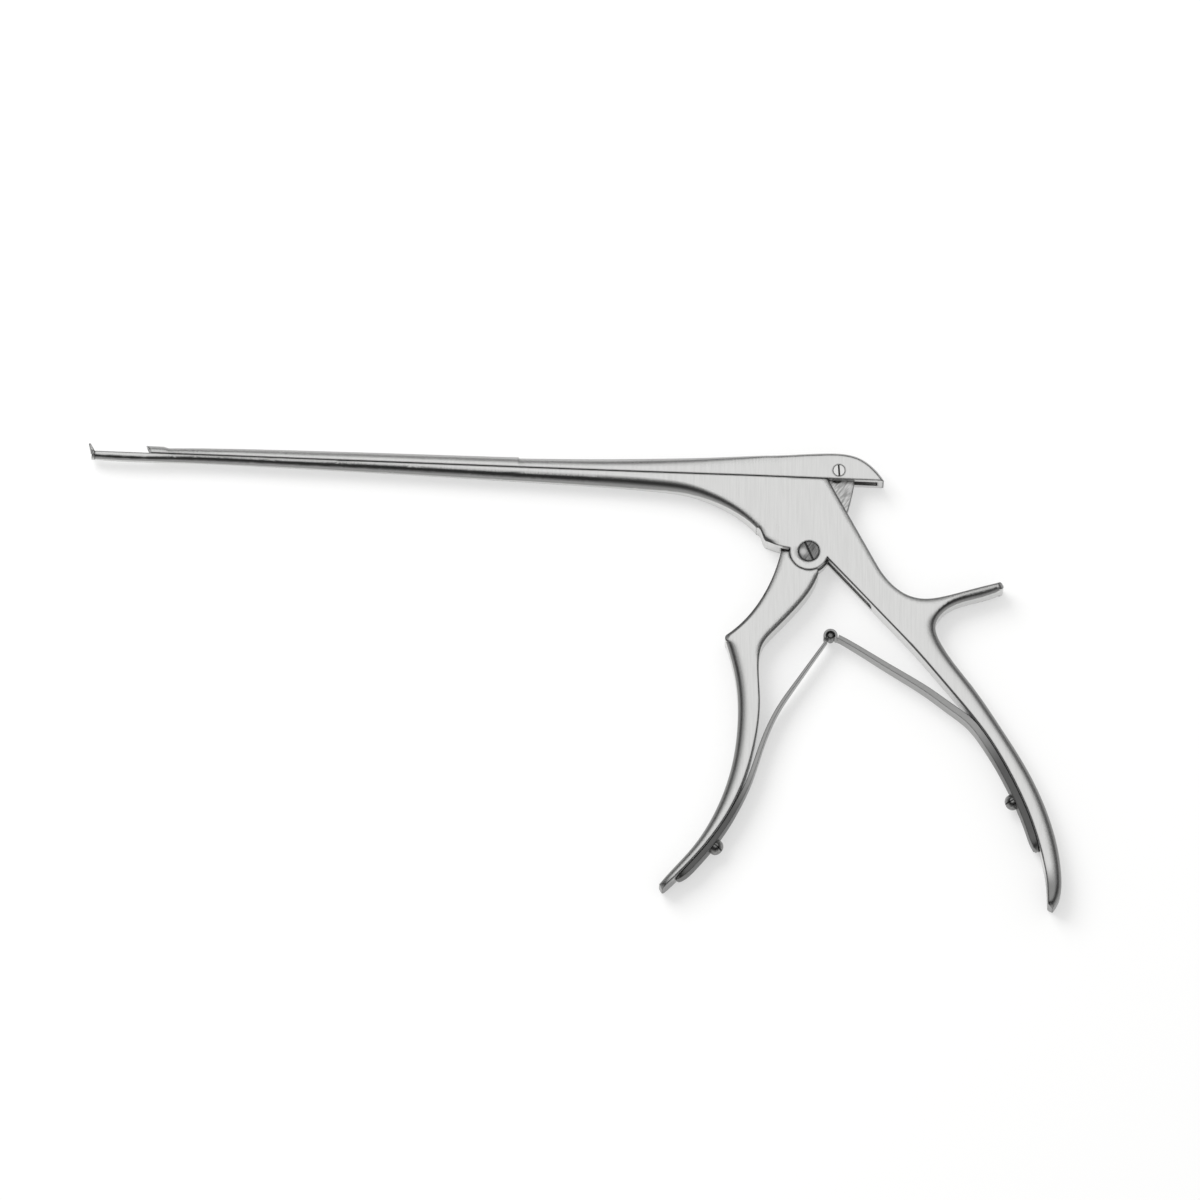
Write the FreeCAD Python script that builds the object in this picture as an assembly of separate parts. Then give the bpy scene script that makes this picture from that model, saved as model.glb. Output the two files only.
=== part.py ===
import FreeCAD, Part
import math
import os

Vec = FreeCAD.Vector

# Punch forceps lying on its side. +X runs along the shaft towards the rear, +Y from the handles
# to the sliding shaft, +Z through the thickness. The origin is on the pivot axis, in the side
# face that the instrument rests on. All sizes are in millimetres.

# Thickness stack of the box lock
BODY_THICKNESS = 7.0
CHEEK_WALL = 2.0
TANG_CLEARANCE = 0.1
MIDDLE = BODY_THICKNESS / 2
SLOT_WIDTH = BODY_THICKNESS - 2 * CHEEK_WALL
TANG_THICKNESS = SLOT_WIDTH - 2 * TANG_CLEARANCE

# How far a cut runs past the face that it opens
PAST = 1.0

# Shaft, footplate and cutter
SEAM_HEIGHT = 20.05
SEAM_GAP = 0.04
SEAM_EDGE_BREAK = 0.12
SHAFT_REACH = 188.2
JAW_OPENING = 14.8
JAW_LEAN = 0.58
FOOTPLATE_HEIGHT = 1.9
FOOTPLATE_THICKNESS = 0.75
FOOTPLATE_EDGE = 0.5
CUTTER_LIP_HEIGHT = 2.2
CUTTER_LIP_LENGTH = 3.2
CUTTER_NOSE_HEIGHT = 1.8
CUTTER_LENGTH = 4.6
CUP_HEIGHT = 1.05
CUP_RADIUS = 0.75
CUP_DEPTH = 2.4
# Flat left beside the rounding of a D-shaped section, and a rounding larger than any section takes
ROUNDING_FLAT = 0.15
FULL = 9.0

# Width of both shafts at places along them: (X, width)
SHAFT_WIDTHS = [
    (-SHAFT_REACH, 3.2),
    (-110.0, 4.4),
    (-55.0, 5.4),
    (-16.0, BODY_THICKNESS),
    (20.0, BODY_THICKNESS),
]
# Slim part of the lower shaft: (share of the way from the tip to the flare, depth below the seam)
SLIM_DEPTHS = [(0.0, 1.92), (0.17, 1.92), (0.35, 2.1), (0.53, 2.42), (0.71, 2.95), (0.89, 3.53)]
# Flare of the lower shaft into the body: (X, depth below the seam, largest rounding of the lower edges)
FLARE_STATIONS = [
    (-50.0, 3.95, 2.6),
    (-40.0, 4.4, 2.5),
    (-32.0, 5.2, 2.2),
    (-26.0, 6.9, 1.8),
    (-21.0, 9.1, 1.4),
    (-17.0, 11.6, 1.0),
    (-14.0, 14.15, 0.8),
]
# Round ridge of the sliding shaft: (share of the way from the cutter to its end, height above the seam)
RIDGE_END = -77.0
RIDGE_HEIGHTS = [(0.2, 2.4), (0.42, 2.7), (0.64, 2.9), (0.86, 3.07), (1.0, 3.2)]
# Sliding shaft behind it: (X, height above the seam, largest rounding of the upper edges)
SLIDE_STATIONS = [
    (RIDGE_END, 2.9, FULL),
    (-60.0, 3.4, 2.4),
    (-50.0, 3.8, 2.4),
    (-40.0, 4.2, 2.1),
    (-30.0, 4.65, 1.7),
    (-20.0, 5.25, 1.2),
    (-12.0, 5.8, 0.9),
]
# Top of the slide's tail: (X, height above the seam)
TAIL_TOP = [(-12.0, 5.8), (-4.0, 6.42), (4.0, 7.05), (8.0, 7.05), (12.0, 6.2), (15.5, 4.05), (18.5, 0.8)]
TAIL_END = 18.9
TAIL_ROUNDING = 0.9

# T-shaped key under the slide and its keyway in the lower shaft
KEY_SETBACK = 3.4
KEY_REAR = -0.5
KEY_CLEARANCE = 0.06
KEY_NECK_WIDTH = 1.0
KEY_NECK_DEPTH = 0.5
KEY_HEAD_WIDTH = 1.8
KEY_HEAD_DEPTH = 0.5

# Pivot and drive screw
LUG_RADIUS = 5.0
SHOULDER_CLEARANCE = 0.15
PIVOT_HEAD_RADIUS = 2.75
PIVOT_HEAD_DEPTH = 1.1
PIVOT_HEAD_PROUD = 0.1
PIVOT_SHANK_RADIUS = 1.8
HEAD_CLEARANCE = 0.05
SHANK_CLEARANCE = 0.03
SCREW_END_RECESS = 0.3
DRIVE_X = 7.05
DRIVE_HEIGHT = 2.35
DRIVE_HEAD_RADIUS = 1.5
DRIVE_HEAD_DEPTH = 0.8
DRIVE_HEAD_PROUD = 0.08
DRIVE_SHANK_RADIUS = 1.2
FORK_SIDE_CLEARANCE = 0.2
FORK_FLOOR_CLEARANCE = 0.6
FORK_TIP_REACH = 1.12
SLOT_CUT_WIDTH = 0.4
SLOT_CUT_DEPTH = 0.5

# Lever tang of the front handle, about its centre line: (distance from the pivot, half width)
TANG_TOP_HALF_WIDTH = 4.4
TANG_FRONT_EDGE = [(13.0, 5.4), (5.0, 5.0), (0.0, 4.8)]
TANG_REAR_EDGE = [(20.0, 5.15), (14.5, 5.7), (9.0, 5.7), (4.0, 5.2), (0.0, 4.8)]
TANG_ROOT_OVERLAP = 0.3

# Rounding of the grips' outer edges and of other edges
GRIP_ROUNDING = 1.5
SPUR_TOP_ROUNDING = 0.45
INNER_ROUNDING = 0.5
# Rounding of the ends across their thickness
GRIP_END_ROUNDING = 2.2
SPUR_END_ROUNDING = 1.6
REAR_GRIP_END_TURN = -88.0
FRONT_GRIP_END_TURN = -127.0
SPUR_END_TURN = 18.0

# Leaf springs and their hinge
HINGE_X = 6.5
HINGE_Y = -22.4
BEAD_RADIUS = 1.1
BEAD_WIDTH = 4.4
BEAD_ROUNDING = 0.8
SOCKET_CLEARANCE = 0.06
SOCKET_WALL = 0.7
SOCKET_START_ANGLE = -25.0
SOCKET_END_ANGLE = 200.0
LEAF_CORNER_RADIUS = 1.8
LEAF_FOOT_WIDTH = 5.7
REAR_LEAF_FOOT_THICKNESS = 1.9
REAR_LEAF_END_THICKNESS = 1.1
FRONT_LEAF_FOOT_THICKNESS = 1.5
FRONT_LEAF_END_THICKNESS = 0.6
FRONT_LEAF_END_WIDTH = 3.0
SPRING_SCREW_HEAD_RADIUS = 2.1
SPRING_SCREW_HEAD_HEIGHT = 2.4
SPRING_SCREW_SHANK_RADIUS = 1.1
SPRING_SCREW_REACH = 3.2
SPRING_SCREW_EDGE_HEIGHT = 0.6
HOLE_SPARE_DEPTH = 0.4
# Half length of the blocks that cut the leaves to their plan form
PLAN_REACH = 100.0
# Places on the inner edges of the handles, given by their height
REAR_LEAF_FOOT_Y = -78.4
REAR_LEAF_LIFT_Y = -45.5
REAR_SPRING_SCREW_Y = -64.2
FRONT_LEAF_FOOT_Y = -90.2
FRONT_LEAF_LIFT_Y = -73.0
FRONT_SPRING_SCREW_Y = -79.6
# Free part of each leaf from lift to hinge: (share of the chord, offset to its left side)
REAR_LEAF_BOW = [(0.2, -1.35), (0.33, -1.8), (0.63, -1.75), (0.9, -1.6)]
REAR_LEAF_END_OFFSET = -1.35
FRONT_LEAF_BOW = [(0.22, 0.4), (0.35, 1.7), (0.48, 2.75), (0.6, 2.9), (0.73, 2.2), (0.86, 1.4)]
FRONT_LEAF_END_OFFSET = 0.5

# Outline of the frame
REAR_CORNER = (4.2, SEAM_HEIGHT)
REAR_EDGE_STRAIGHT_END = (18.0, -3.0)
SPUR_TOP = [(22.0, -8.0), (26.0, -10.7), (30.0, -11.6), (36.0, -10.7), (43.0, -8.5), (50.2, -6.3)]
SPUR_TOP_SLOPE = (7.2, 2.2)
SPUR_TIP = (51.3, -7.4)
SPUR_UNDERSIDE = [
    (50.6, -8.2),
    (43.0, -11.1),
    (36.6, -14.1),
    (33.9, -18.3),
    (35.6, -23.6),
    (44.0, -34.6),
    (52.0, -45.7),
    (60.0, -58.1),
    (66.0, -71.2),
    (69.2, -85.5),
]
REAR_GRIP_END = [(69.1, -90.2), (67.2, -94.3)]
REAR_GRIP_TIP = (65.9, -93.2)
REAR_TIP_SLOPE = (1.0, -9.0)
INNER_APEX = (4.8, -1.6)
INNER_STRAIGHT_END = (26.0, -22.8)
REAR_GRIP_INNER = [
    (32.0, -29.2),
    (40.0, -38.2),
    (48.0, -47.8),
    (56.0, -60.7),
    (60.0, -69.0),
    (63.5, -79.0),
    (65.5, -88.0),
]
UNDERSIDE_REST = [(-14.0, -14.15), (-12.4, -16.0), (-11.0, -17.9)]
BOTTOM_EDGE = [(-10.9, 2.15), (-8.0, 1.2), (-4.9, 0.7)]

# Slot for the tang, through the frame's middle
FRAME_SLOT = [
    (-13.0, SEAM_HEIGHT + PAST),
    (-10.3, 10.5),
    (-7.4, 2.6),
    (-6.6, -8.0),
    (3.6, -8.0),
    (17.4, -14.6),
    (13.6, -6.9),
    (6.4, 0.3),
    (7.6, 3.6),
    (9.4, 7.3),
    (14.0, 10.4),
    (12.0, SEAM_HEIGHT + PAST),
]
# Pocket for the tang, under the slide's tail: (X, height above the seam)
TAIL_POCKET = [(0.4, -2.0), (0.4, 5.0), (9.9, 5.0), (12.9, 4.1), (17.2, 0.9), (17.2, -2.0)]

# Outline of the front handle
HANDLE_CORNER = (-7.3, -0.3)
HANDLE_FRONT_UPPER = [(-8.2, -4.2), (-11.0, -11.6), (-15.4, -18.6), (-20.6, -23.7)]
HANDLE_BEAK = (-21.05, -24.4)
HANDLE_FRONT_LOWER = [
    (-20.9, -25.2),
    (-19.3, -30.0),
    (-17.4, -38.5),
    (-16.9, -47.0),
    (-18.1, -59.5),
    (-21.6, -71.0),
    (-27.5, -81.7),
    (-34.2, -90.0),
]
FRONT_GRIP_TIP = [(-35.7, -92.0), (-34.9, -93.4)]
FRONT_GRIP_HEEL = (-33.6, -92.2)
HANDLE_SHOULDER_ANGLE = -61.0
HANDLE_SHOULDER = (2.7, -5.9)
HANDLE_REAR = [
    (0.2, -11.4),
    (-4.0, -16.9),
    (-8.0, -21.5),
    (-11.2, -25.8),
    (-12.0, -31.0),
    (-11.3, -41.0),
    (-12.2, -53.0),
    (-15.1, -64.5),
    (-19.4, -74.0),
    (-26.2, -83.9),
]


def flat(point):
    """A point of the side face, as a vector."""
    return Vec(point[0], point[1], 0)


def line(start, end):
    return Part.makeLine(flat(start), flat(end))


def curve(points, start_tangent=None, end_tangent=None):
    """A smooth curve through the points."""
    spline = Part.BSplineCurve()
    vectors = [flat(point) for point in points]
    if start_tangent and end_tangent:
        spline.interpolate(
            Points=vectors, InitialTangent=flat(start_tangent), FinalTangent=flat(end_tangent)
        )
    else:
        spline.interpolate(vectors)
    return spline


def arc(start, middle, end):
    return Part.Arc(flat(start), flat(middle), flat(end)).toShape()


def on_circle(radius, degrees):
    angle = math.radians(degrees)
    return (radius * math.cos(angle), radius * math.sin(angle))


def prism(edges, low, high):
    """A closed outline, extruded from one height to another."""
    wire = Part.Wire(Part.sortEdges(edges)[0])
    solid = Part.Face(wire).extrude(Vec(0, 0, high - low))
    solid.translate(Vec(0, 0, low))
    return solid


def polygon_prism(points, low, high):
    ends = points[1:] + points[:1]
    return prism([line(start, end) for start, end in zip(points, ends)], low, high)


def rod(radius, low, high, x=0.0, y=0.0):
    return Part.makeCylinder(radius, high - low, Vec(x, y, low))


def rim(solid, outline, heights):
    """The solid's edges that lie over the given outline edges at the given heights."""
    found = []
    for edge in solid.Edges:
        centre = edge.CenterOfMass
        if min(abs(centre.z - height) for height in heights) > 0.001:
            continue
        for part in outline:
            offset = centre - part.CenterOfMass
            if math.hypot(offset.x, offset.y) < 0.001:
                found.append(edge)
    return found


def round_end(solid, tip, turn, rounding):
    """Rounds an end across its thickness. Turn is the way it points in the side face, in degrees."""
    span = 2 * BODY_THICKNESS
    for face, side in ((0, -1), (BODY_THICKNESS, 1)):
        level = face - side * rounding
        bend = rounding * math.sqrt(0.5)
        start = Vec(0, 0, level)
        end = Vec(-rounding, 0, face)
        edges = [
            Part.Arc(start, Vec(bend - rounding, 0, level + side * bend), end).toShape(),
            Part.makeLine(end, Vec(-rounding, 0, face + side)),
            Part.makeLine(Vec(-rounding, 0, face + side), Vec(rounding, 0, face + side)),
            Part.makeLine(Vec(rounding, 0, face + side), Vec(rounding, 0, level)),
            Part.makeLine(Vec(rounding, 0, level), start),
        ]
        corner = Part.Face(Part.Wire(edges)).extrude(Vec(0, span, 0))
        corner.translate(Vec(0, -span / 2, 0))
        corner.rotate(Vec(), Vec(0, 0, 1), turn)
        corner.translate(flat(tip))
        solid = solid.cut(corner)
    return solid


def one_solid(shape):
    """The shape's only solid, with split faces joined again."""
    clean = shape.removeSplitter()
    if len(clean.Solids) != 1:
        raise ValueError("expected one solid, found %d" % len(clean.Solids))
    return clean.Solids[0]


def above_seam(points):
    return [(x, SEAM_HEIGHT + height) for x, height in points]


def shaft_width(x):
    """Width of both shafts at a place along them."""
    for (x0, width0), (x1, width1) in zip(SHAFT_WIDTHS, SHAFT_WIDTHS[1:]):
        if x <= x1:
            share = max(0.0, (x - x0) / (x1 - x0))
            return width0 + share * (width1 - width0)
    return SHAFT_WIDTHS[-1][1]


def shaft_section(x, reach, largest, side):
    """A D-shaped section: flat on the seam and rounded away from it. Side is 1 up or -1 down."""
    half = shaft_width(x) / 2
    rounding = min(half - ROUNDING_FLAT, largest, reach - ROUNDING_FLAT)
    seam = SEAM_HEIGHT + max(0.0, side * SEAM_GAP)
    wall = seam + side * SEAM_EDGE_BREAK
    far = SEAM_HEIGHT + side * reach
    turn = far - side * rounding
    bend = rounding * math.sqrt(0.5)
    inner = half - rounding
    seam_half = half - SEAM_EDGE_BREAK

    def at(y, z):
        return Vec(x, y, MIDDLE + z)

    edges = [
        Part.makeLine(at(seam, -seam_half), at(seam, seam_half)),
        Part.makeLine(at(seam, seam_half), at(wall, half)),
        Part.makeLine(at(wall, half), at(turn, half)),
        Part.Arc(at(turn, half), at(turn + side * bend, inner + bend), at(far, inner)).toShape(),
        Part.makeLine(at(far, inner), at(far, -inner)),
        Part.Arc(at(far, -inner), at(turn + side * bend, -inner - bend), at(turn, -half)).toShape(),
        Part.makeLine(at(turn, -half), at(wall, -half)),
        Part.makeLine(at(wall, -half), at(seam, -seam_half)),
    ]
    return Part.Wire(edges)


def shaft_front():
    """Front face of the sliding shaft, at the seam."""
    return JAW_OPENING - SHAFT_REACH


def spread(shares, start, end):
    """Stations with full rounding, at shares of the way from start to end."""
    return [(start + share * (end - start), reach, FULL) for share, reach in shares]


def lower_stations():
    return spread(SLIM_DEPTHS, -SHAFT_REACH, FLARE_STATIONS[0][0]) + FLARE_STATIONS


def shaft_loft(stations, side):
    sections = [shaft_section(x, reach, largest, side) for x, reach, largest in stations]
    return Part.makeLoft(sections, True, False)


def key_bar(front, rear, clearance):
    """The T-shaped key, or with a clearance the keyway that it runs in."""
    neck_half = KEY_NECK_WIDTH / 2 + clearance
    head_half = KEY_HEAD_WIDTH / 2 + clearance
    head_top = SEAM_HEIGHT - KEY_NECK_DEPTH + clearance
    head_low = SEAM_HEIGHT - KEY_NECK_DEPTH - KEY_HEAD_DEPTH - clearance
    top = SEAM_HEIGHT + 4 * SEAM_GAP
    neck = Part.makeBox(rear - front, top - head_low, 2 * neck_half,
                        Vec(front, head_low, MIDDLE - neck_half))
    head = Part.makeBox(rear - front, head_top - head_low, 2 * head_half,
                        Vec(front, head_low, MIDDLE - head_half))
    return neck.fuse(head)


def seam_edge_cuts(front, rear, level, side):
    """Bars that break both edges along the seam. Side is 1 for the upper piece or -1 for the lower."""
    step = SEAM_EDGE_BREAK
    bars = []
    for face, out in ((0, -1), (BODY_THICKNESS, 1)):
        corner = Part.makePolygon([
            Vec(front, level - side * step, face - out * 2 * step),
            Vec(front, level + side * 2 * step, face + out * step),
            Vec(front, level - side * step, face + out * step),
            Vec(front, level - side * step, face - out * 2 * step),
        ])
        bars.append(Part.Face(corner).extrude(Vec(rear - front, 0, 0)))
    return bars


def rear_inner_spline():
    """Inner edge of the rear handle, from the end of its straight part to the tip."""
    slope = (INNER_STRAIGHT_END[0] - INNER_APEX[0], INNER_STRAIGHT_END[1] - INNER_APEX[1])
    return curve([INNER_STRAIGHT_END] + REAR_GRIP_INNER + [REAR_GRIP_TIP], slope, REAR_TIP_SLOPE)


def front_inner_spline():
    """Rear edge of the front handle, from its shoulder to the heel of the tip."""
    return curve([HANDLE_SHOULDER] + HANDLE_REAR + [FRONT_GRIP_HEEL])


def place_at_height(spline, height):
    """Parameter of the point of a falling curve that lies at this height."""
    low, high = spline.FirstParameter, spline.LastParameter
    for _ in range(50):
        middle = (low + high) / 2
        if spline.value(middle).y > height:
            low = middle
        else:
            high = middle
    return low


def along(spline, parameter):
    """Point and direction of a curve at a parameter."""
    direction = spline.tangent(parameter)[0]
    return spline.value(parameter), Vec(direction.x, direction.y, 0).normalize()


def slotted_screw(head_radius, head_height, edge_height, shank_radius, shank_length, slot_degrees):
    """A screw on +Z with a domed, slotted head, whose underside lies in the plane Z = 0."""
    rim_point = Vec(head_radius, 0, edge_height)
    bulge = Vec(head_radius * 0.55, 0, edge_height + (head_height - edge_height) * 0.8)
    dome = Part.Arc(rim_point, bulge, Vec(0, 0, head_height)).toShape()
    corners = [
        Vec(0, 0, head_height),
        Vec(0, 0, -shank_length),
        Vec(shank_radius, 0, -shank_length),
        Vec(shank_radius, 0, 0),
        Vec(head_radius, 0, 0),
        rim_point,
    ]
    sides = [Part.makeLine(start, end) for start, end in zip(corners, corners[1:])]
    wire = Part.Wire(Part.sortEdges(sides + [dome])[0])
    screw = Part.Face(wire).revolve(Vec(), Vec(0, 0, 1), 360)
    slot = Part.makeBox(
        2 * (head_radius + PAST), SLOT_CUT_WIDTH, SLOT_CUT_DEPTH + PAST,
        Vec(-head_radius - PAST, -SLOT_CUT_WIDTH / 2, head_height - SLOT_CUT_DEPTH),
    )
    slot.rotate(Vec(), Vec(0, 0, 1), slot_degrees)
    return one_solid(screw.cut(slot))


def stand_on(shape, point, direction):
    """Turns a shape's +Z to a direction in the side face and moves it to a point at mid thickness."""
    placed = shape.copy()
    placed.rotate(Vec(), Vec(1, 0, 0), -90)
    placed.rotate(Vec(), Vec(0, 0, 1), math.degrees(math.atan2(direction.y, direction.x)) - 90)
    placed.translate(Vec(point.x, point.y, MIDDLE))
    return placed


def spring_seat(spline, height, outward_turn):
    """Where a spring screw stands on a handle's inner edge, and the way that it points."""
    point, direction = along(spline, place_at_height(spline, height))
    outward = Vec(-direction.y * outward_turn, direction.x * outward_turn, 0)
    return point, outward


def rear_spring_seat():
    return spring_seat(rear_inner_spline(), REAR_SPRING_SCREW_Y, -1)


def front_spring_seat():
    return spring_seat(front_inner_spline(), FRONT_SPRING_SCREW_Y, 1)


def spring_screw_hole(seat):
    point, outward = seat
    depth = SPRING_SCREW_REACH + HOLE_SPARE_DEPTH
    hole = rod(SPRING_SCREW_SHANK_RADIUS + SHANK_CLEARANCE, -depth, PAST)
    return stand_on(hole, point, outward)


def spring_screw(seat, leaf_thickness):
    point, outward = seat
    screw = slotted_screw(
        SPRING_SCREW_HEAD_RADIUS,
        SPRING_SCREW_HEAD_HEIGHT,
        SPRING_SCREW_EDGE_HEIGHT,
        SPRING_SCREW_SHANK_RADIUS,
        leaf_thickness + SPRING_SCREW_REACH,
        90.0,
    )
    return stand_on(screw, point + outward * leaf_thickness, outward)


def frame_outline():
    """Edges of the frame's side face behind the shaft, in named groups."""
    low_front = above_seam(UNDERSIDE_REST)[0]
    top_front = (low_front[0], SEAM_HEIGHT)
    top_rear = REAR_CORNER
    straight = (
        REAR_EDGE_STRAIGHT_END[0] - REAR_CORNER[0],
        REAR_EDGE_STRAIGHT_END[1] - REAR_CORNER[1],
    )
    spur_top = curve([REAR_EDGE_STRAIGHT_END] + SPUR_TOP, straight, SPUR_TOP_SLOPE)
    outer = curve(SPUR_UNDERSIDE + REAR_GRIP_END)
    lug_start = on_circle(LUG_RADIUS, math.degrees(math.atan2(INNER_APEX[1], INNER_APEX[0])))
    lug_end_y = BOTTOM_EDGE[-1][1]
    lug_end = (-math.sqrt(LUG_RADIUS ** 2 - lug_end_y ** 2), lug_end_y)
    return {
        "back": [line(top_rear, REAR_EDGE_STRAIGHT_END), spur_top.toShape()],
        "spur_end": [arc(SPUR_TOP[-1], SPUR_TIP, SPUR_UNDERSIDE[0])],
        "outer": [outer.toShape()],
        "tip": [line(REAR_GRIP_END[-1], REAR_GRIP_TIP)],
        "inner": [rear_inner_spline().toShape(), line(lug_start, INNER_STRAIGHT_END)],
        "lug": [arc(lug_start, (0, -LUG_RADIUS), lug_end), curve(BOTTOM_EDGE[:-1] + [lug_end]).toShape()],
        "underside": [curve(above_seam(UNDERSIDE_REST) + [BOTTOM_EDGE[0]]).toShape()],
        "shaft_side": [line(top_front, top_rear), line(top_front, low_front)],
    }


def make_frame_body():
    """Box-lock body, finger spur and rear handle, without the slot."""
    groups = frame_outline()
    edges = [edge for group in groups.values() for edge in group]
    body = prism(edges, 0, BODY_THICKNESS)
    faces = [0, BODY_THICKNESS]
    body = body.makeFillet(GRIP_ROUNDING, rim(body, groups["outer"], faces))
    body = body.makeFillet(INNER_ROUNDING, rim(body, groups["inner"], faces))
    body = body.makeFillet(SPUR_TOP_ROUNDING, rim(body, groups["back"], faces))
    front, rear = above_seam(UNDERSIDE_REST)[0][0], REAR_CORNER[0]
    body = body.cut(seam_edge_cuts(front, rear, SEAM_HEIGHT, -1))
    body = round_end(body, SPUR_TIP, SPUR_END_TURN, SPUR_END_ROUNDING)
    return round_end(body, REAR_GRIP_END[-1], REAR_GRIP_END_TURN, GRIP_END_ROUNDING)


def make_footplate():
    """Thin upright plate at the tip, leaning forwards, which closes the end of the lower shaft."""
    half = shaft_width(-SHAFT_REACH) / 2
    depth = SLIM_DEPTHS[0][1]
    lean = JAW_LEAN * FOOTPLATE_HEIGHT
    profile = [
        (-SHAFT_REACH, -depth),
        (-SHAFT_REACH, 0.0),
        (-SHAFT_REACH - lean, FOOTPLATE_HEIGHT),
        (-SHAFT_REACH - lean - FOOTPLATE_EDGE, FOOTPLATE_HEIGHT),
        (-SHAFT_REACH - FOOTPLATE_THICKNESS, -depth / 2),
        (-SHAFT_REACH - FOOTPLATE_THICKNESS, -depth),
    ]
    plate = polygon_prism(above_seam(profile), MIDDLE - half, MIDDLE + half)
    foot = shaft_loft([(-SHAFT_REACH - FOOTPLATE_THICKNESS, depth, FULL), (-SHAFT_REACH, depth, FULL)], -1)
    top = Part.makeBox(4 * FOOTPLATE_HEIGHT, FOOTPLATE_HEIGHT, 2 * half,
                       Vec(-SHAFT_REACH - 4 * FOOTPLATE_HEIGHT, SEAM_HEIGHT, MIDDLE - half))
    return one_solid(plate.common(foot.fuse(top)))


def make_frame():
    """Lower shaft, body, finger spur and rear handle: one forging, to which the footplate belongs."""
    keyway_front = KEY_SETBACK - SHAFT_REACH - KEY_CLEARANCE
    cuts = [
        polygon_prism(FRAME_SLOT, CHEEK_WALL, CHEEK_WALL + SLOT_WIDTH),
        key_bar(keyway_front, FRAME_SLOT[1][0], KEY_CLEARANCE),
        rod(PIVOT_SHANK_RADIUS + SHANK_CLEARANCE, -PAST, BODY_THICKNESS + PAST),
        rod(PIVOT_HEAD_RADIUS + HEAD_CLEARANCE, BODY_THICKNESS - PIVOT_HEAD_DEPTH, BODY_THICKNESS + PAST),
        spring_screw_hole(rear_spring_seat()),
    ]
    frame = shaft_loft(lower_stations(), -1).fuse(make_frame_body())
    return one_solid(frame.cut(cuts))


def make_tail():
    """Deep rear end of the sliding shaft, which carries the drive screw."""
    bottom = SEAM_HEIGHT + SEAM_GAP
    top = curve(above_seam(TAIL_TOP)).toShape()
    top_front, top_rear = above_seam([TAIL_TOP[0], TAIL_TOP[-1]])
    edges = [
        top,
        line(top_rear, (TAIL_END, bottom)),
        line((TAIL_END, bottom), (top_front[0], bottom)),
        line((top_front[0], bottom), top_front),
    ]
    tail = prism(edges, 0, BODY_THICKNESS)
    tail = tail.makeFillet(TAIL_ROUNDING, rim(tail, [top], [0, BODY_THICKNESS]))
    return tail.cut(seam_edge_cuts(top_front[0], TAIL_END, bottom, 1))


def make_cutter():
    """Raised lip at the cutter's end of the sliding shaft."""
    front = shaft_front()
    ahead = front - 2 * JAW_LEAN * CUTTER_LIP_HEIGHT
    lip_rear = front + CUTTER_LIP_LENGTH
    nose_rear = front + CUTTER_LENGTH
    stations = [
        (ahead, CUTTER_LIP_HEIGHT, FULL),
        (lip_rear, CUTTER_LIP_HEIGHT, FULL),
        (nose_rear, CUTTER_NOSE_HEIGHT, FULL),
    ]
    sections = [shaft_section(x, reach, largest, 1) for x, reach, largest in stations]
    return Part.makeLoft(sections, True, True)


def cutter_cup():
    """Hollow in the cutter's face, with a round bottom, which leaves a sharp rim."""
    height = SEAM_HEIGHT + CUP_HEIGHT
    mouth = shaft_front() - JAW_LEAN * CUP_HEIGHT
    bottom = mouth + CUP_DEPTH
    start = mouth - CUP_DEPTH
    bore = Part.makeCylinder(CUP_RADIUS, bottom - start, Vec(start, height, MIDDLE), Vec(1, 0, 0))
    return bore.fuse(Part.makeSphere(CUP_RADIUS, Vec(bottom, height, MIDDLE)))


def make_sliding_shaft():
    """Upper shaft with the cutter at its front, and the key that guides it under it."""
    front = shaft_front()
    nose = (front + CUTTER_LENGTH, CUTTER_NOSE_HEIGHT, FULL)
    ridge = [nose] + spread(RIDGE_HEIGHTS, nose[0], RIDGE_END)
    drive_y = SEAM_HEIGHT + DRIVE_HEIGHT
    pocket = polygon_prism(above_seam(TAIL_POCKET), CHEEK_WALL, CHEEK_WALL + SLOT_WIDTH)
    rise = 2 * CUTTER_LIP_HEIGHT
    jaw_face = above_seam([(front + rise * JAW_LEAN, -rise), (front - rise * JAW_LEAN, rise)])
    ahead = above_seam([(front - 2 * rise, rise), (front - 2 * rise, -rise)])
    cuts = [
        pocket,
        polygon_prism(jaw_face + ahead, 0, BODY_THICKNESS),
        rod(DRIVE_SHANK_RADIUS + SHANK_CLEARANCE, -PAST, BODY_THICKNESS + PAST, DRIVE_X, drive_y),
        rod(DRIVE_HEAD_RADIUS + HEAD_CLEARANCE, BODY_THICKNESS - DRIVE_HEAD_DEPTH, BODY_THICKNESS + PAST,
            DRIVE_X, drive_y),
        cutter_cup(),
    ]
    key = key_bar(front + KEY_SETBACK, KEY_REAR, 0.0)
    slide = shaft_loft(ridge, 1).fuse([shaft_loft(SLIDE_STATIONS, 1), make_tail(), make_cutter(), key])
    return one_solid(slide.cut(cuts))


def rest_tilt():
    """Lean of the lever towards the rear at rest, in degrees."""
    return math.degrees(math.atan2(DRIVE_X, SEAM_HEIGHT + DRIVE_HEIGHT))


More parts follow.
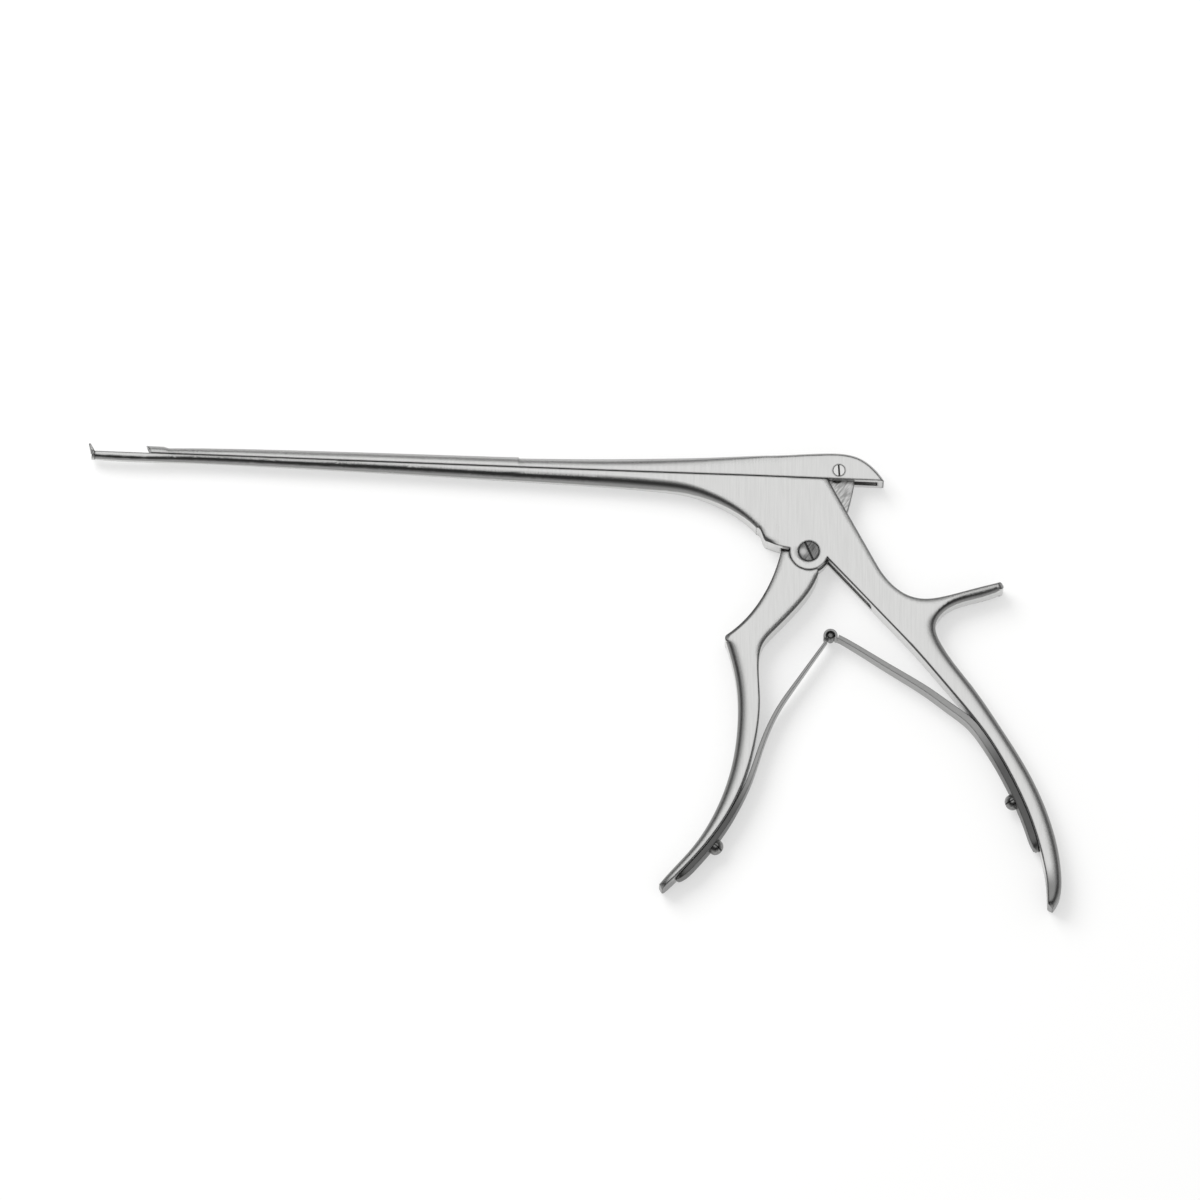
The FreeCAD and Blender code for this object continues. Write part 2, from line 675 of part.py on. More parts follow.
def make_tang():
    """Thin lever inside the box lock, forked round the drive screw."""
    drive_y = SEAM_HEIGHT + DRIVE_HEIGHT
    tip_radius = math.hypot(DRIVE_X, drive_y) + FORK_TIP_REACH
    top = math.sqrt(tip_radius ** 2 - TANG_TOP_HALF_WIDTH ** 2)
    rear = curve([(TANG_TOP_HALF_WIDTH, top)] + [(half, s) for s, half in TANG_REAR_EDGE])
    front = curve([(-TANG_TOP_HALF_WIDTH, top)] + [(-half, s) for s, half in TANG_FRONT_EDGE])
    top_corner = (TANG_TOP_HALF_WIDTH, top)
    low_rear = (TANG_REAR_EDGE[-1][1], TANG_REAR_EDGE[-1][0])
    low_front = (-TANG_FRONT_EDGE[-1][1], TANG_FRONT_EDGE[-1][0])
    edges = [
        rear.toShape(),
        front.toShape(),
        arc((-top_corner[0], top), (0, tip_radius), top_corner),
        line(low_rear, low_front),
    ]
    low = CHEEK_WALL + TANG_CLEARANCE
    high = low + TANG_THICKNESS
    lever = prism(edges, low, high)
    fork_half = DRIVE_SHANK_RADIUS + FORK_SIDE_CLEARANCE
    fork_low = drive_y - DRIVE_SHANK_RADIUS - FORK_FLOOR_CLEARANCE + fork_half
    fork = Part.makeBox(2 * fork_half, tip_radius, BODY_THICKNESS, Vec(-fork_half, fork_low, 0))
    lever = lever.cut([fork, rod(fork_half, 0, BODY_THICKNESS, 0, fork_low)])
    lever.rotate(Vec(), Vec(0, 0, 1), -rest_tilt())
    root = rod(LUG_RADIUS + SHOULDER_CLEARANCE + TANG_ROOT_OVERLAP, low, high)
    return lever.fuse(root)


def make_front_grip():
    """Full-thickness part of the front handle, with a round shoulder that runs on the lug."""
    shoulder_radius = LUG_RADIUS + SHOULDER_CLEARANCE
    shoulder_end = on_circle(shoulder_radius, HANDLE_SHOULDER_ANGLE)
    corner_y = HANDLE_CORNER[1]
    shoulder_start = (-math.sqrt(shoulder_radius ** 2 - corner_y ** 2), corner_y)
    outer = curve(HANDLE_FRONT_LOWER + FRONT_GRIP_TIP[:1]).toShape()
    inner = front_inner_spline().toShape()
    edges = [
        arc(shoulder_start, (0, -shoulder_radius), shoulder_end),
        line(shoulder_end, HANDLE_SHOULDER),
        inner,
        line(FRONT_GRIP_HEEL, FRONT_GRIP_TIP[1]),
        line(FRONT_GRIP_TIP[1], FRONT_GRIP_TIP[0]),
        outer,
        arc(HANDLE_FRONT_LOWER[0], HANDLE_BEAK, HANDLE_FRONT_UPPER[-1]),
        curve([HANDLE_CORNER] + HANDLE_FRONT_UPPER).toShape(),
        line(HANDLE_CORNER, shoulder_start),
    ]
    grip = prism(edges, 0, BODY_THICKNESS)
    faces = [0, BODY_THICKNESS]
    grip = grip.makeFillet(GRIP_ROUNDING, rim(grip, [outer], faces))
    grip = grip.makeFillet(INNER_ROUNDING, rim(grip, [inner], faces))
    return round_end(grip, FRONT_GRIP_TIP[1], FRONT_GRIP_END_TURN, GRIP_END_ROUNDING)


def make_front_handle():
    """Front handle and its lever tang, one forging."""
    handle = make_front_grip().fuse(make_tang())
    bore = rod(PIVOT_SHANK_RADIUS + SHANK_CLEARANCE, 0, BODY_THICKNESS)
    return one_solid(handle.cut([bore, spring_screw_hole(front_spring_seat())]))


def make_pivot_screw():
    underside = BODY_THICKNESS - PIVOT_HEAD_DEPTH
    screw = slotted_screw(
        PIVOT_HEAD_RADIUS,
        PIVOT_HEAD_DEPTH + PIVOT_HEAD_PROUD,
        PIVOT_HEAD_DEPTH,
        PIVOT_SHANK_RADIUS,
        underside - SCREW_END_RECESS,
        -64.0,
    )
    screw.translate(Vec(0, 0, underside))
    return screw


def make_drive_screw():
    underside = BODY_THICKNESS - DRIVE_HEAD_DEPTH
    screw = slotted_screw(
        DRIVE_HEAD_RADIUS,
        DRIVE_HEAD_DEPTH + DRIVE_HEAD_PROUD,
        DRIVE_HEAD_DEPTH,
        DRIVE_SHANK_RADIUS,
        underside - SCREW_END_RECESS,
        -84.0,
    )
    screw.translate(Vec(DRIVE_X, SEAM_HEIGHT + DRIVE_HEIGHT, underside))
    return screw


def make_rear_spring_screw():
    return spring_screw(rear_spring_seat(), REAR_LEAF_FOOT_THICKNESS)


def make_front_spring_screw():
    return spring_screw(front_spring_seat(), FRONT_LEAF_FOOT_THICKNESS)


def leaf_band(spline, foot_y, lift_y, bow, end_offset, foot_thickness, end_thickness, side):
    """A leaf of full width: seated on a handle's edge up to the lift, then tapered to the hinge."""
    foot = place_at_height(spline, foot_y)
    lift = place_at_height(spline, lift_y)
    lift_point, down = along(spline, lift)
    seat = spline.copy()
    seat.segment(lift, foot)
    hinge = Vec(HINGE_X, HINGE_Y, 0)
    chord = hinge - lift_point
    ahead = Vec(chord).normalize()
    left = Vec(-ahead.y, ahead.x, 0)
    places = [lift_point]
    for share, offset in bow:
        places.append(lift_point + chord * share + left * offset)
    places.append(hinge + left * end_offset)
    free = Part.BSplineCurve()
    free.interpolate(Points=places, InitialTangent=down * -1, FinalTangent=places[-1] - places[-2])
    outer = []
    for base, first, last, count in ((seat, seat.LastParameter, seat.FirstParameter, 8),
                                     (free, free.FirstParameter, free.LastParameter, 14)):
        for step in range(count):
            share = step / count
            thickness = foot_thickness
            point, direction = along(base, first + (last - first) * share)
            if base is seat:
                direction = direction * -1
            else:
                thickness += (end_thickness - foot_thickness) * share
            outer.append(point + Vec(-direction.y, direction.x, 0) * side * thickness)
    point, direction = along(free, free.LastParameter)
    outer.append(point + Vec(-direction.y, direction.x, 0) * side * end_thickness)
    outer_curve = Part.BSplineCurve()
    outer_curve.interpolate(outer)
    edges = [
        seat.toShape(),
        free.toShape(),
        outer_curve.toShape(),
        Part.makeLine(outer[-1], places[-1]),
        Part.makeLine(outer[0], seat.value(seat.LastParameter)),
    ]
    return prism(edges, 0, BODY_THICKNESS)


def rear_leaf_plan():
    """Plan form of the rear leaf, seen along Y: it narrows from the lift to the socket."""
    spline = rear_inner_spline()
    lift_x = spline.value(place_at_height(spline, REAR_LEAF_LIFT_Y)).x
    far_x = spline.value(spline.LastParameter).x + PAST
    end_half = BEAD_WIDTH / 2
    foot_half = LEAF_FOOT_WIDTH / 2
    near_x = HINGE_X - socket_radius() - PAST
    taper_x = HINGE_X + socket_radius()
    corners = [
        (near_x, end_half), (taper_x, end_half), (lift_x, foot_half), (far_x, foot_half),
        (far_x, -foot_half), (lift_x, -foot_half), (taper_x, -end_half), (near_x, -end_half),
    ]
    points = [Vec(x, 0, MIDDLE + z) for x, z in corners]
    face = Part.Face(Part.makePolygon(points + points[:1]))
    plan = face.extrude(Vec(0, 2 * PLAN_REACH, 0))
    plan.translate(Vec(0, -PLAN_REACH, 0))
    return plan


def front_leaf_plan():
    """Plan form of the front leaf, seen along X."""
    end_half = FRONT_LEAF_END_WIDTH / 2
    foot_half = LEAF_FOOT_WIDTH / 2
    near_y = HINGE_Y + BEAD_RADIUS + PAST
    far_y = FRONT_LEAF_FOOT_Y - LEAF_FOOT_WIDTH
    corners = [
        (near_y, end_half), (HINGE_Y, end_half), (FRONT_LEAF_LIFT_Y, foot_half), (far_y, foot_half),
        (far_y, -foot_half), (FRONT_LEAF_LIFT_Y, -foot_half), (HINGE_Y, -end_half), (near_y, -end_half),
    ]
    points = [Vec(0, y, MIDDLE + z) for y, z in corners]
    face = Part.Face(Part.makePolygon(points + points[:1]))
    plan = face.extrude(Vec(2 * PLAN_REACH, 0, 0))
    plan.translate(Vec(-PLAN_REACH, 0, 0))
    return plan


def round_foot(leaf, spline, foot_y, thickness):
    """Rounds the two corners at the foot of a leaf."""
    foot = spline.value(place_at_height(spline, foot_y))
    corners = []
    for edge in leaf.Edges:
        centre = edge.CenterOfMass
        near = math.hypot(centre.x - foot.x, centre.y - foot.y) < thickness
        if near and edge.BoundBox.ZLength < 0.001:
            corners.append(edge)
    return leaf.makeFillet(LEAF_CORNER_RADIUS, corners)


def screw_clearance(seat, leaf_thickness):
    """Hole for the screw's shank in a leaf, and the flat spot under its head."""
    point, outward = seat
    hole = rod(SPRING_SCREW_SHANK_RADIUS + HEAD_CLEARANCE, -leaf_thickness, 2 * leaf_thickness)
    spot = rod(SPRING_SCREW_HEAD_RADIUS + HEAD_CLEARANCE, leaf_thickness, 2 * leaf_thickness)
    return stand_on(hole.fuse(spot), point, outward)


def socket_radius():
    """Outer radius of the rear leaf's rolled end."""
    return BEAD_RADIUS + SOCKET_CLEARANCE + SOCKET_WALL


def make_socket():
    """Rolled end of the rear leaf, which holds the bead and leaves room for the front leaf."""
    outer = socket_radius()
    inner = outer - SOCKET_WALL
    middle_angle = (SOCKET_START_ANGLE + SOCKET_END_ANGLE) / 2
    angles = (SOCKET_START_ANGLE, middle_angle, SOCKET_END_ANGLE)
    outside = [on_circle(outer, angle) for angle in angles]
    inside = [on_circle(inner, angle) for angle in angles]
    edges = [arc(*outside), line(outside[-1], inside[-1]), arc(*inside), line(inside[0], outside[0])]
    socket = prism(edges, MIDDLE - BEAD_WIDTH / 2, MIDDLE + BEAD_WIDTH / 2)
    socket.translate(Vec(HINGE_X, HINGE_Y, 0))
    return socket


def make_rear_leaf_spring():
    """Stiffer leaf on the rear handle, whose end is rolled into a socket."""
    spline = rear_inner_spline()
    leaf = leaf_band(spline, REAR_LEAF_FOOT_Y, REAR_LEAF_LIFT_Y, REAR_LEAF_BOW, REAR_LEAF_END_OFFSET,
                     REAR_LEAF_FOOT_THICKNESS, REAR_LEAF_END_THICKNESS, 1)
    leaf = leaf.common(rear_leaf_plan())
    leaf = round_foot(leaf, spline, REAR_LEAF_FOOT_Y, REAR_LEAF_FOOT_THICKNESS)
    relief = rod(socket_radius() - SOCKET_WALL, 0, BODY_THICKNESS, HINGE_X, HINGE_Y)
    cuts = [relief, screw_clearance(rear_spring_seat(), REAR_LEAF_FOOT_THICKNESS)]
    return one_solid(leaf.fuse(make_socket()).cut(cuts))


def make_front_leaf_spring():
    """Slimmer leaf on the front handle, whose end seats on the bead."""
    spline = front_inner_spline()
    leaf = leaf_band(spline, FRONT_LEAF_FOOT_Y, FRONT_LEAF_LIFT_Y, FRONT_LEAF_BOW, FRONT_LEAF_END_OFFSET,
                     FRONT_LEAF_FOOT_THICKNESS, FRONT_LEAF_END_THICKNESS, -1)
    leaf = leaf.common(front_leaf_plan())
    leaf = round_foot(leaf, spline, FRONT_LEAF_FOOT_Y, FRONT_LEAF_FOOT_THICKNESS)
    cuts = [
        rod(BEAD_RADIUS, 0, BODY_THICKNESS, HINGE_X, HINGE_Y),
        screw_clearance(front_spring_seat(), FRONT_LEAF_FOOT_THICKNESS),
    ]
    return one_solid(leaf.cut(cuts))


def make_spring_hinge_pin():
    """Cross pin at the front leaf's end, a bead that turns in the rear leaf's socket."""
    bead = rod(BEAD_RADIUS, MIDDLE - BEAD_WIDTH / 2, MIDDLE + BEAD_WIDTH / 2)
    rims = [edge for edge in bead.Edges if edge.BoundBox.ZLength < BEAD_ROUNDING]
    bead = bead.makeFillet(BEAD_ROUNDING, rims)
    bead.translate(Vec(HINGE_X, HINGE_Y, 0))
    return one_solid(bead)


SUBPARTS = {
    "frame": make_frame,
    "footplate": make_footplate,
    "sliding_shaft": make_sliding_shaft,
    "front_handle": make_front_handle,
    "pivot_screw": make_pivot_screw,
    "drive_screw": make_drive_screw,
    "rear_leaf_spring": make_rear_leaf_spring,
    "front_leaf_spring": make_front_leaf_spring,
    "rear_spring_screw": make_rear_spring_screw,
    "front_spring_screw": make_front_spring_screw,
    "spring_hinge_pin": make_spring_hinge_pin,
}


def main():
    os.makedirs("parts", exist_ok=True)
    for name, make in SUBPARTS.items():
        shape = make()
        if not shape.isValid():
            raise ValueError(name + " is not a valid shape")
        shape.exportStep("parts/" + name + ".step")
        box = shape.BoundBox
        print("%s: %d solids, %.1f x %.1f x %.1f mm" % (
            name, len(shape.Solids), box.XLength, box.YLength, box.ZLength))


main()
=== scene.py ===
import math

import bpy
from mathutils import Matrix, Vector
from mathutils.bvhtree import BVHTree


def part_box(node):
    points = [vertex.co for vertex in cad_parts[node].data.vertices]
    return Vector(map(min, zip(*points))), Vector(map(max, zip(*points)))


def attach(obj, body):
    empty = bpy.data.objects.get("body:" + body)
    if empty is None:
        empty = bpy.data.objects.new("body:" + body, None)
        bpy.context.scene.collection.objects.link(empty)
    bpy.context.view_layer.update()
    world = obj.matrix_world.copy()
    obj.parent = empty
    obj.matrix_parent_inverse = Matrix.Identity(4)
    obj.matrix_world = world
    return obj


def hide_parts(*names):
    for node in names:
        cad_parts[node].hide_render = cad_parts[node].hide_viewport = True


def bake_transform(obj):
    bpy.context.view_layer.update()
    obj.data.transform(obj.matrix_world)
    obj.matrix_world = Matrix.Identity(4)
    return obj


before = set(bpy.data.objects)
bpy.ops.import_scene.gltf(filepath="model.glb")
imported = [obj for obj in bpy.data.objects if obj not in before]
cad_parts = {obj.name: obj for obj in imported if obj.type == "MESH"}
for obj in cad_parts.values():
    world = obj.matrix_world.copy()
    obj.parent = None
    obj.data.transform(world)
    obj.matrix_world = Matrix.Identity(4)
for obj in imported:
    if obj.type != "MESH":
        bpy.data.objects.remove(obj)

bl_info = {
    "name": "Bone rongeur",
    "version": (1, 0, 0),
    "blender": (4, 5, 0),
    "location": "3D View > Sidebar > Rongeur",
    "description": "Finishes, leaf springs, screws and studio for a bone rongeur lying on its side",
    "category": "Object",
}

bpy.context.view_layer.update()

MM = 0.001


def lowest_corner(node_name):
    """The corner of a solid that lies farthest towards -Y: the tip of a grip."""
    corners = (vertex.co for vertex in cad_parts[node_name].data.vertices)
    return min(corners, key=lambda corner: corner.y).copy()


# How the photograph sees the instrument: one scale, a tilt towards the grips and a small roll
PICTURE_PIXELS = 1200
PIVOT_PIXEL = (809.0, 551.0)
MM_PER_PIXEL = 0.262
VIEW_TILT = 16.5
VIEW_ROLL = 2.34

# Middle of the thickness
LOW_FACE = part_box("frame")[0].z
HIGH_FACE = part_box("frame")[1].z
MID_Z = (LOW_FACE + HIGH_FACE) / 2

# Bead that joins the two leaves, and the rolled end of the rear leaf round it
BEAD_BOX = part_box("spring_hinge_pin")
HINGE = (BEAD_BOX[0] + BEAD_BOX[1]) / 2
BEAD_RADIUS = (BEAD_BOX[1].x - BEAD_BOX[0].x) / 2
BEAD_HALF_WIDTH = (BEAD_BOX[1].z - BEAD_BOX[0].z) / 2
SOCKET_CLEARANCE = 0.06 * MM
SOCKET_WALL = 0.7 * MM
SOCKET_ANGLES = (-25.0, 200.0)
SOCKET_STEPS = 60

# How a leaf's solid is measured: stations along it, rays that pass beside its screw's bore, and the
# thickest strip that they may find; and the length over which a leaf's foot thins out
LEAF_STATIONS = 150
PROBE_OFF_MIDDLE = 1.3 * MM
THICKEST_LEAF = 4.0 * MM
FOOT_TAPER = 5.0 * MM

# Painted dark reflections, in bands where broad roundings run into the flat faces:
# Broad soft roundings: how far they run in from the edge, and for each forging its zones with (way that
# the edge faces, likeness to it at which the band begins, middle of the zone, its reach, where it has faded)
BROAD_ROUNDING = 2.9 * MM
BROAD_ZONES = {
    "frame": [
        ((0.85, -0.5, 0.0), 0.01, (62.5 * MM, -55.5 * MM, MID_Z), 48 * MM, 51 * MM),
        ((0.0, -1.0, 0.0), 0.12, (-34 * MM, 6 * MM, MID_Z), 23 * MM, 28 * MM),
        ((0.85, 0.5, 0.0), 0.3, (15.5 * MM, 4 * MM, MID_Z), 25 * MM, 28 * MM),
        ((-0.1, 1.0, 0.0), 0.25, (39 * MM, -9 * MM, MID_Z), 17 * MM, 21 * MM),
    ],
    "footplate": [((0.0, -1.0, 0.0), 0.1, (-110 * MM, 15 * MM, MID_Z), 110 * MM, 130 * MM)],
    "sliding_shaft": [((0.0, 1.0, 0.0), 0.03, (-110 * MM, 20 * MM, MID_Z), 60 * MM, 125 * MM)],
    "front_handle": [
        ((-0.9, -0.45, 0.0), 0.01, (-28.8 * MM, -61 * MM, MID_Z), 36 * MM, 38 * MM),
        ((0.75, -0.65, 0.0), 0.2, (-3 * MM, -15 * MM, MID_Z), 14 * MM, 20 * MM),
        ((-0.85, 0.5, 0.0), 0.3, (-14.5 * MM, -13 * MM, MID_Z), 17 * MM, 20 * MM),
    ],
}

# Greys of the painted reflections on the roundings: (inner part that mirrors the dim room, outer part that
# mirrors the floor)
ROUNDING_GREYS = {
    "frame": (0.3, 0.26),
    "footplate": (0.4, 0.8),
    "sliding_shaft": (0.5, 0.3),
    "front_handle": (0.3, 0.26),
}

# Ends of the grips darkened by painted shade: (place, reach)
SHADED_TIPS = {
    "frame": [(lowest_corner("frame"), 13.0 * MM)],
    "front_handle": [(lowest_corner("front_handle"), 7.0 * MM)],
}

# Screws, each with its head's radius, head's height, edge height, shank radius and shank length
PIVOT_SCREW = (2.75 * MM, 1.2 * MM, 1.1 * MM, 1.8 * MM, 5.6 * MM)
DRIVE_SCREW = (1.5 * MM, 0.88 * MM, 0.8 * MM, 1.2 * MM, 5.9 * MM)
REAR_SPRING_SCREW = (2.1 * MM, 2.4 * MM, 0.6 * MM, 1.1 * MM, 5.1 * MM)
FRONT_SPRING_SCREW = (2.1 * MM, 2.4 * MM, 0.6 * MM, 1.1 * MM, 4.2 * MM)
PIVOT_SLOT_TURN = math.radians(-64.0)
DRIVE_SLOT_TURN = math.radians(-84.0)
# Middle of a painted highlight, a light crescent, on the pivot screw's head
PIVOT_CRESCENT = (-1.5 * MM, -0.2 * MM, HIGH_FACE)
SPRING_SLOT_TURN = math.radians(90.0)
SPRING_SCREW_TONE = 0.1
SCREW_NOSE = 0.3 * MM
CROWN_STEPS = 20
TURNS_TRIED = 720

# Studio, in metres
KEY_PLACE = (-0.72, 0.6, 0.98)
KEY_TARGET = (-0.05, -0.03, 0.0)
KEY_SIZE = (0.9, 0.9)
FLOOR_REACH = 4.0
FLOOR_GAP = 0.02 * MM


def new_group(name, inputs, outputs):
    """An empty shader node group with these sockets: (name, kind, default)."""
    group = bpy.data.node_groups.new(name, "ShaderNodeTree")
    for label, kind, default in inputs:
        socket = group.interface.new_socket(label, in_out="INPUT", socket_type=kind)
        if default is not None:
            socket.default_value = default
    for label, kind in outputs:
        group.interface.new_socket(label, in_out="OUTPUT", socket_type=kind)
    return group


def add(tree, kind, **settings):
    """A node with its properties set."""
    node = tree.nodes.new(kind)
    for key, value in settings.items():
        setattr(node, key, value)
    return node


def fill(tree, sockets, values):
    """Gives sockets their values, with links where a value is a socket."""
    for socket, value in zip(sockets, values):
        if isinstance(value, bpy.types.NodeSocket):
            tree.links.new(value, socket)
        elif value is not None:
            socket.default_value = value


def feed(tree, node, **inputs):
    """Fills a node's inputs by name."""
    fill(tree, [node.inputs[key.replace("_", " ")] for key in inputs], inputs.values())
    return node


def math_node(tree, operation, first, second=None, clamp=False):
    """The result socket of a Math node."""
    node = add(tree, "ShaderNodeMath", operation=operation, use_clamp=clamp)
    fill(tree, node.inputs, (first, second))
    return node.outputs[0]


def vector_math(tree, operation, first, second=None):
    """The result socket of a Vector Math node."""
    node = add(tree, "ShaderNodeVectorMath", operation=operation)
    fill(tree, node.inputs, (first, second))
    return node.outputs["Value" if operation in ("DOT_PRODUCT", "LENGTH", "DISTANCE") else "Vector"]


def scaled(tree, vector, factor):
    """A vector times a number."""
    node = add(tree, "ShaderNodeVectorMath", operation="SCALE")
    fill(tree, (node.inputs[0], node.inputs["Scale"]), (vector, factor))
    return node.outputs[0]


def combined(tree, **parts):
    """A vector from X, Y and Z."""
    return feed(tree, add(tree, "ShaderNodeCombineXYZ"), **parts).outputs[0]


def separated(tree, vector):
    """The X, Y and Z sockets of a vector."""
    return feed(tree, add(tree, "ShaderNodeSeparateXYZ"), Vector=vector).outputs


def turned_about_z(tree, vector, angle):
    """A vector turned about Z."""
    node = add(tree, "ShaderNodeVectorRotate", rotation_type="Z_AXIS")
    return feed(tree, node, Vector=vector, Angle=angle).outputs[0]


def noise(tree, vector, scale, detail, roughness):
    """The value of a noise texture."""
    texture = add(tree, "ShaderNodeTexNoise")
    return feed(tree, texture, Vector=vector, Scale=scale, Detail=detail, Roughness=roughness).outputs[0]


def ramp(tree, value, stops):
    """A colour ramp with grey stops: (position, grey)."""
    node = add(tree, "ShaderNodeValToRGB")
    elements = node.color_ramp.elements
    while len(elements) < len(stops):
        elements.new(0.5)
    for element, (position, grey) in zip(elements, stops):
        element.position = position
        element.color = (grey, grey, grey, 1.0)
    tree.links.new(value, node.inputs[0])
    return node.outputs[0]


def fine_brushing():
    """Grain of a belt-ground face: long thin scratches along one direction of the object."""
    group = new_group(
        "Fine Brushing",
        [
            ("Vector", "NodeSocketVector", None),
            ("Turn", "NodeSocketFloat", 0.0),
            ("Pitch", "NodeSocketFloat", 0.2),
            ("Length", "NodeSocketFloat", 9.0),
        ],
        [("Grain", "NodeSocketFloat"), ("Cloud", "NodeSocketFloat")],
    )
    start = add(group, "NodeGroupInput").outputs
    turned = turned_about_z(group, start["Vector"], start["Turn"])
    across = math_node(group, "DIVIDE", 1.0 / MM, start["Pitch"])
    along = math_node(group, "DIVIDE", 1.0 / MM, start["Length"])
    stretched = vector_math(group, "MULTIPLY", turned, combined(group, X=across, Y=along, Z=across))
    feed(
        group, add(group, "NodeGroupOutput"),
        Grain=noise(group, stretched, 1.0, 3.0, 0.6),
        Cloud=noise(group, start["Vector"], 0.09 / MM, 2.0, 0.5),
    )
    return group


def painted_edge_shading():
    """Mask of a piece's outer edges, where shade or highlight is painted along them, and a normal that rounds
    them by a small radius.
    """
    group = new_group(
        "Painted Edge Shading",
        [("Radius", "NodeSocketFloat", 0.3 * MM), ("Normal", "NodeSocketVector", None)],
        [("Mask", "NodeSocketFloat"), ("Normal", "NodeSocketVector")],
    )
    start = add(group, "NodeGroupInput").outputs
    soft = feed(group, add(group, "ShaderNodeBevel", samples=6), Radius=start["Radius"])
    true_normal = add(group, "ShaderNodeNewGeometry").outputs["Normal"]
    likeness = vector_math(group, "DOT_PRODUCT", soft.outputs[0], true_normal)
    half = math_node(group, "MULTIPLY", start["Radius"], 0.5)
    rounded = feed(group, add(group, "ShaderNodeBevel", samples=6), Radius=half, Normal=start["Normal"])
    feed(
        group, add(group, "NodeGroupOutput"),
        Mask=ramp(group, likeness, [(0.9, 1.0), (0.999, 0.0)]), Normal=rounded.outputs[0],
    )
    return group


def painted_rounding_reflection():
    """Masks of the rounded edges, where reflections of the dim room and of the floor are painted into the
    colour, and a broadly rounded normal.
    """
    group = new_group(
        "Painted Rounding Reflection",
        [("Radius", "NodeSocketFloat", BROAD_ROUNDING)],
        [
            ("Mask", "NodeSocketFloat"), ("Outer", "NodeSocketFloat"),
            ("Off Walls", "NodeSocketFloat"), ("Normal", "NodeSocketVector"),
        ],
    )
    start = add(group, "NodeGroupInput").outputs
    upright = separated(group, add(group, "ShaderNodeNewGeometry").outputs["Normal"])["Z"]
    facing = math_node(group, "ABSOLUTE", upright)
    soft = feed(group, add(group, "ShaderNodeBevel", samples=8), Radius=start["Radius"])
    feed(
        group, add(group, "NodeGroupOutput"),
        Mask=ramp(group, facing, [(0.12, 0.0), (0.3, 1.0), (0.92, 1.0), (0.988, 0.0)]),
        Outer=ramp(group, facing, [(0.5, 1.0), (0.75, 0.0)]),
        Off_Walls=ramp(group, facing, [(0.12, 0.0), (0.3, 1.0)]),
        Normal=soft.outputs[0],
    )
    return group


def crevice_shade():
    """Mask of the narrow gaps between pieces, where shade is painted."""
    group = new_group(
        "Crevice Shade",
        [("Reach", "NodeSocketFloat", 1.2 * MM)],
        [("Mask", "NodeSocketFloat")],
    )
    start = add(group, "NodeGroupInput").outputs
    openness = feed(group, add(group, "ShaderNodeAmbientOcclusion", samples=8), Distance=start["Reach"])
    mask = ramp(group, openness.outputs["AO"], [(0.15, 1.0), (0.48, 0.0)])
    feed(group, add(group, "NodeGroupOutput"), Mask=mask)
    return group


def near_point(tree, place, point, inner, outer):
    """A mask that is 1 near a point and falls to 0 at an outer distance."""
    away = vector_math(tree, "DISTANCE", place, point)
    span = add(tree, "ShaderNodeMapRange", interpolation_type="SMOOTHSTEP")
    return feed(tree, span, Value=away, From_Min=inner, From_Max=outer, To_Min=1.0, To_Max=0.0).outputs[0]


def broad_bands(tree, place, rounding_reflection, zones):
    """A mask of the bands where broad roundings run into the flat faces, which get a painted dark reflection.
    """
    mask = None
    for way, start, middle, reach, fade in zones:
        likeness = vector_math(tree, "DOT_PRODUCT", rounding_reflection.outputs["Normal"], Vector(way).normalized())
        band = ramp(tree, likeness, [(start, 0.0), (start + 0.09, 1.0)])
        band = math_node(tree, "MULTIPLY", band, near_point(tree, place, middle, reach, fade))
        mask = band if mask is None else math_node(tree, "MAXIMUM", mask, band)
    return math_node(tree, "MULTIPLY", mask, rounding_reflection.outputs["Off Walls"])


def tang_marks(tree, place, tone, settings):
    """The lever tang's face below the grip's face: darker by painted shade, with slanting file marks."""
    parts = separated(tree, place)
    below_top = math_node(tree, "LESS_THAN", parts["Z"], HIGH_FACE - 1.0 * MM)
    above_lug = math_node(tree, "GREATER_THAN", parts["Y"], 6.0 * MM)
    inside = math_node(tree, "MULTIPLY", below_top, above_lug)
    slanted = turned_about_z(tree, place, math.radians(38))
    filed = vector_math(tree, "MULTIPLY", slanted, (2.2 / MM, 0.35 / MM, 1.0 / MM))
    marks = ramp(tree, noise(tree, filed, 1.0, 2.0, 0.6), [(0.38, 0.0), (0.6, 1.0)])
    face = mix_colour(tree, marks, grey(settings.tang_grey * 0.6), grey(settings.tang_grey * 1.15))
    return mix_colour(tree, inside, tone, face)


def grey(value):
    return (value, value, value * 0.99, 1.0)


def principled(name):
    """A new material, its Principled shader and its object coordinates."""
    material = bpy.data.materials.new(name)
    material.use_nodes = True
    tree = material.node_tree
    shader = next(node for node in tree.nodes if node.type == "BSDF_PRINCIPLED")
    place = add(tree, "ShaderNodeTexCoord").outputs["Object"]
    return material, tree, shader, place


def use_group(tree, group, **inputs):
    """A node that uses a shared group, with its inputs filled."""
    return feed(tree, add(tree, "ShaderNodeGroup", node_tree=group), **inputs)


def mix_colour(tree, factor, first, second, blend="MIX"):
    """The colour between two, by a factor."""
    node = add(tree, "ShaderNodeMix", data_type="RGBA", blend_type=blend)
    fill(tree, (node.inputs[0], node.inputs[6], node.inputs[7]), (factor, first, second))
    return node.outputs[2]


def mix_vector(tree, factor, first, second):
    """The vector between two, by a factor."""
    node = add(tree, "ShaderNodeMix", data_type="VECTOR")
    fill(tree, (node.inputs[0], node.inputs[4], node.inputs[5]), (factor, first, second))
    return node.outputs[1]


def between(tree, value, low, high):
    """A value from 0 to 1, spread from low to high."""
    return feed(tree, add(tree, "ShaderNodeMapRange"), Value=value, To_Min=low, To_Max=high).outputs[0]


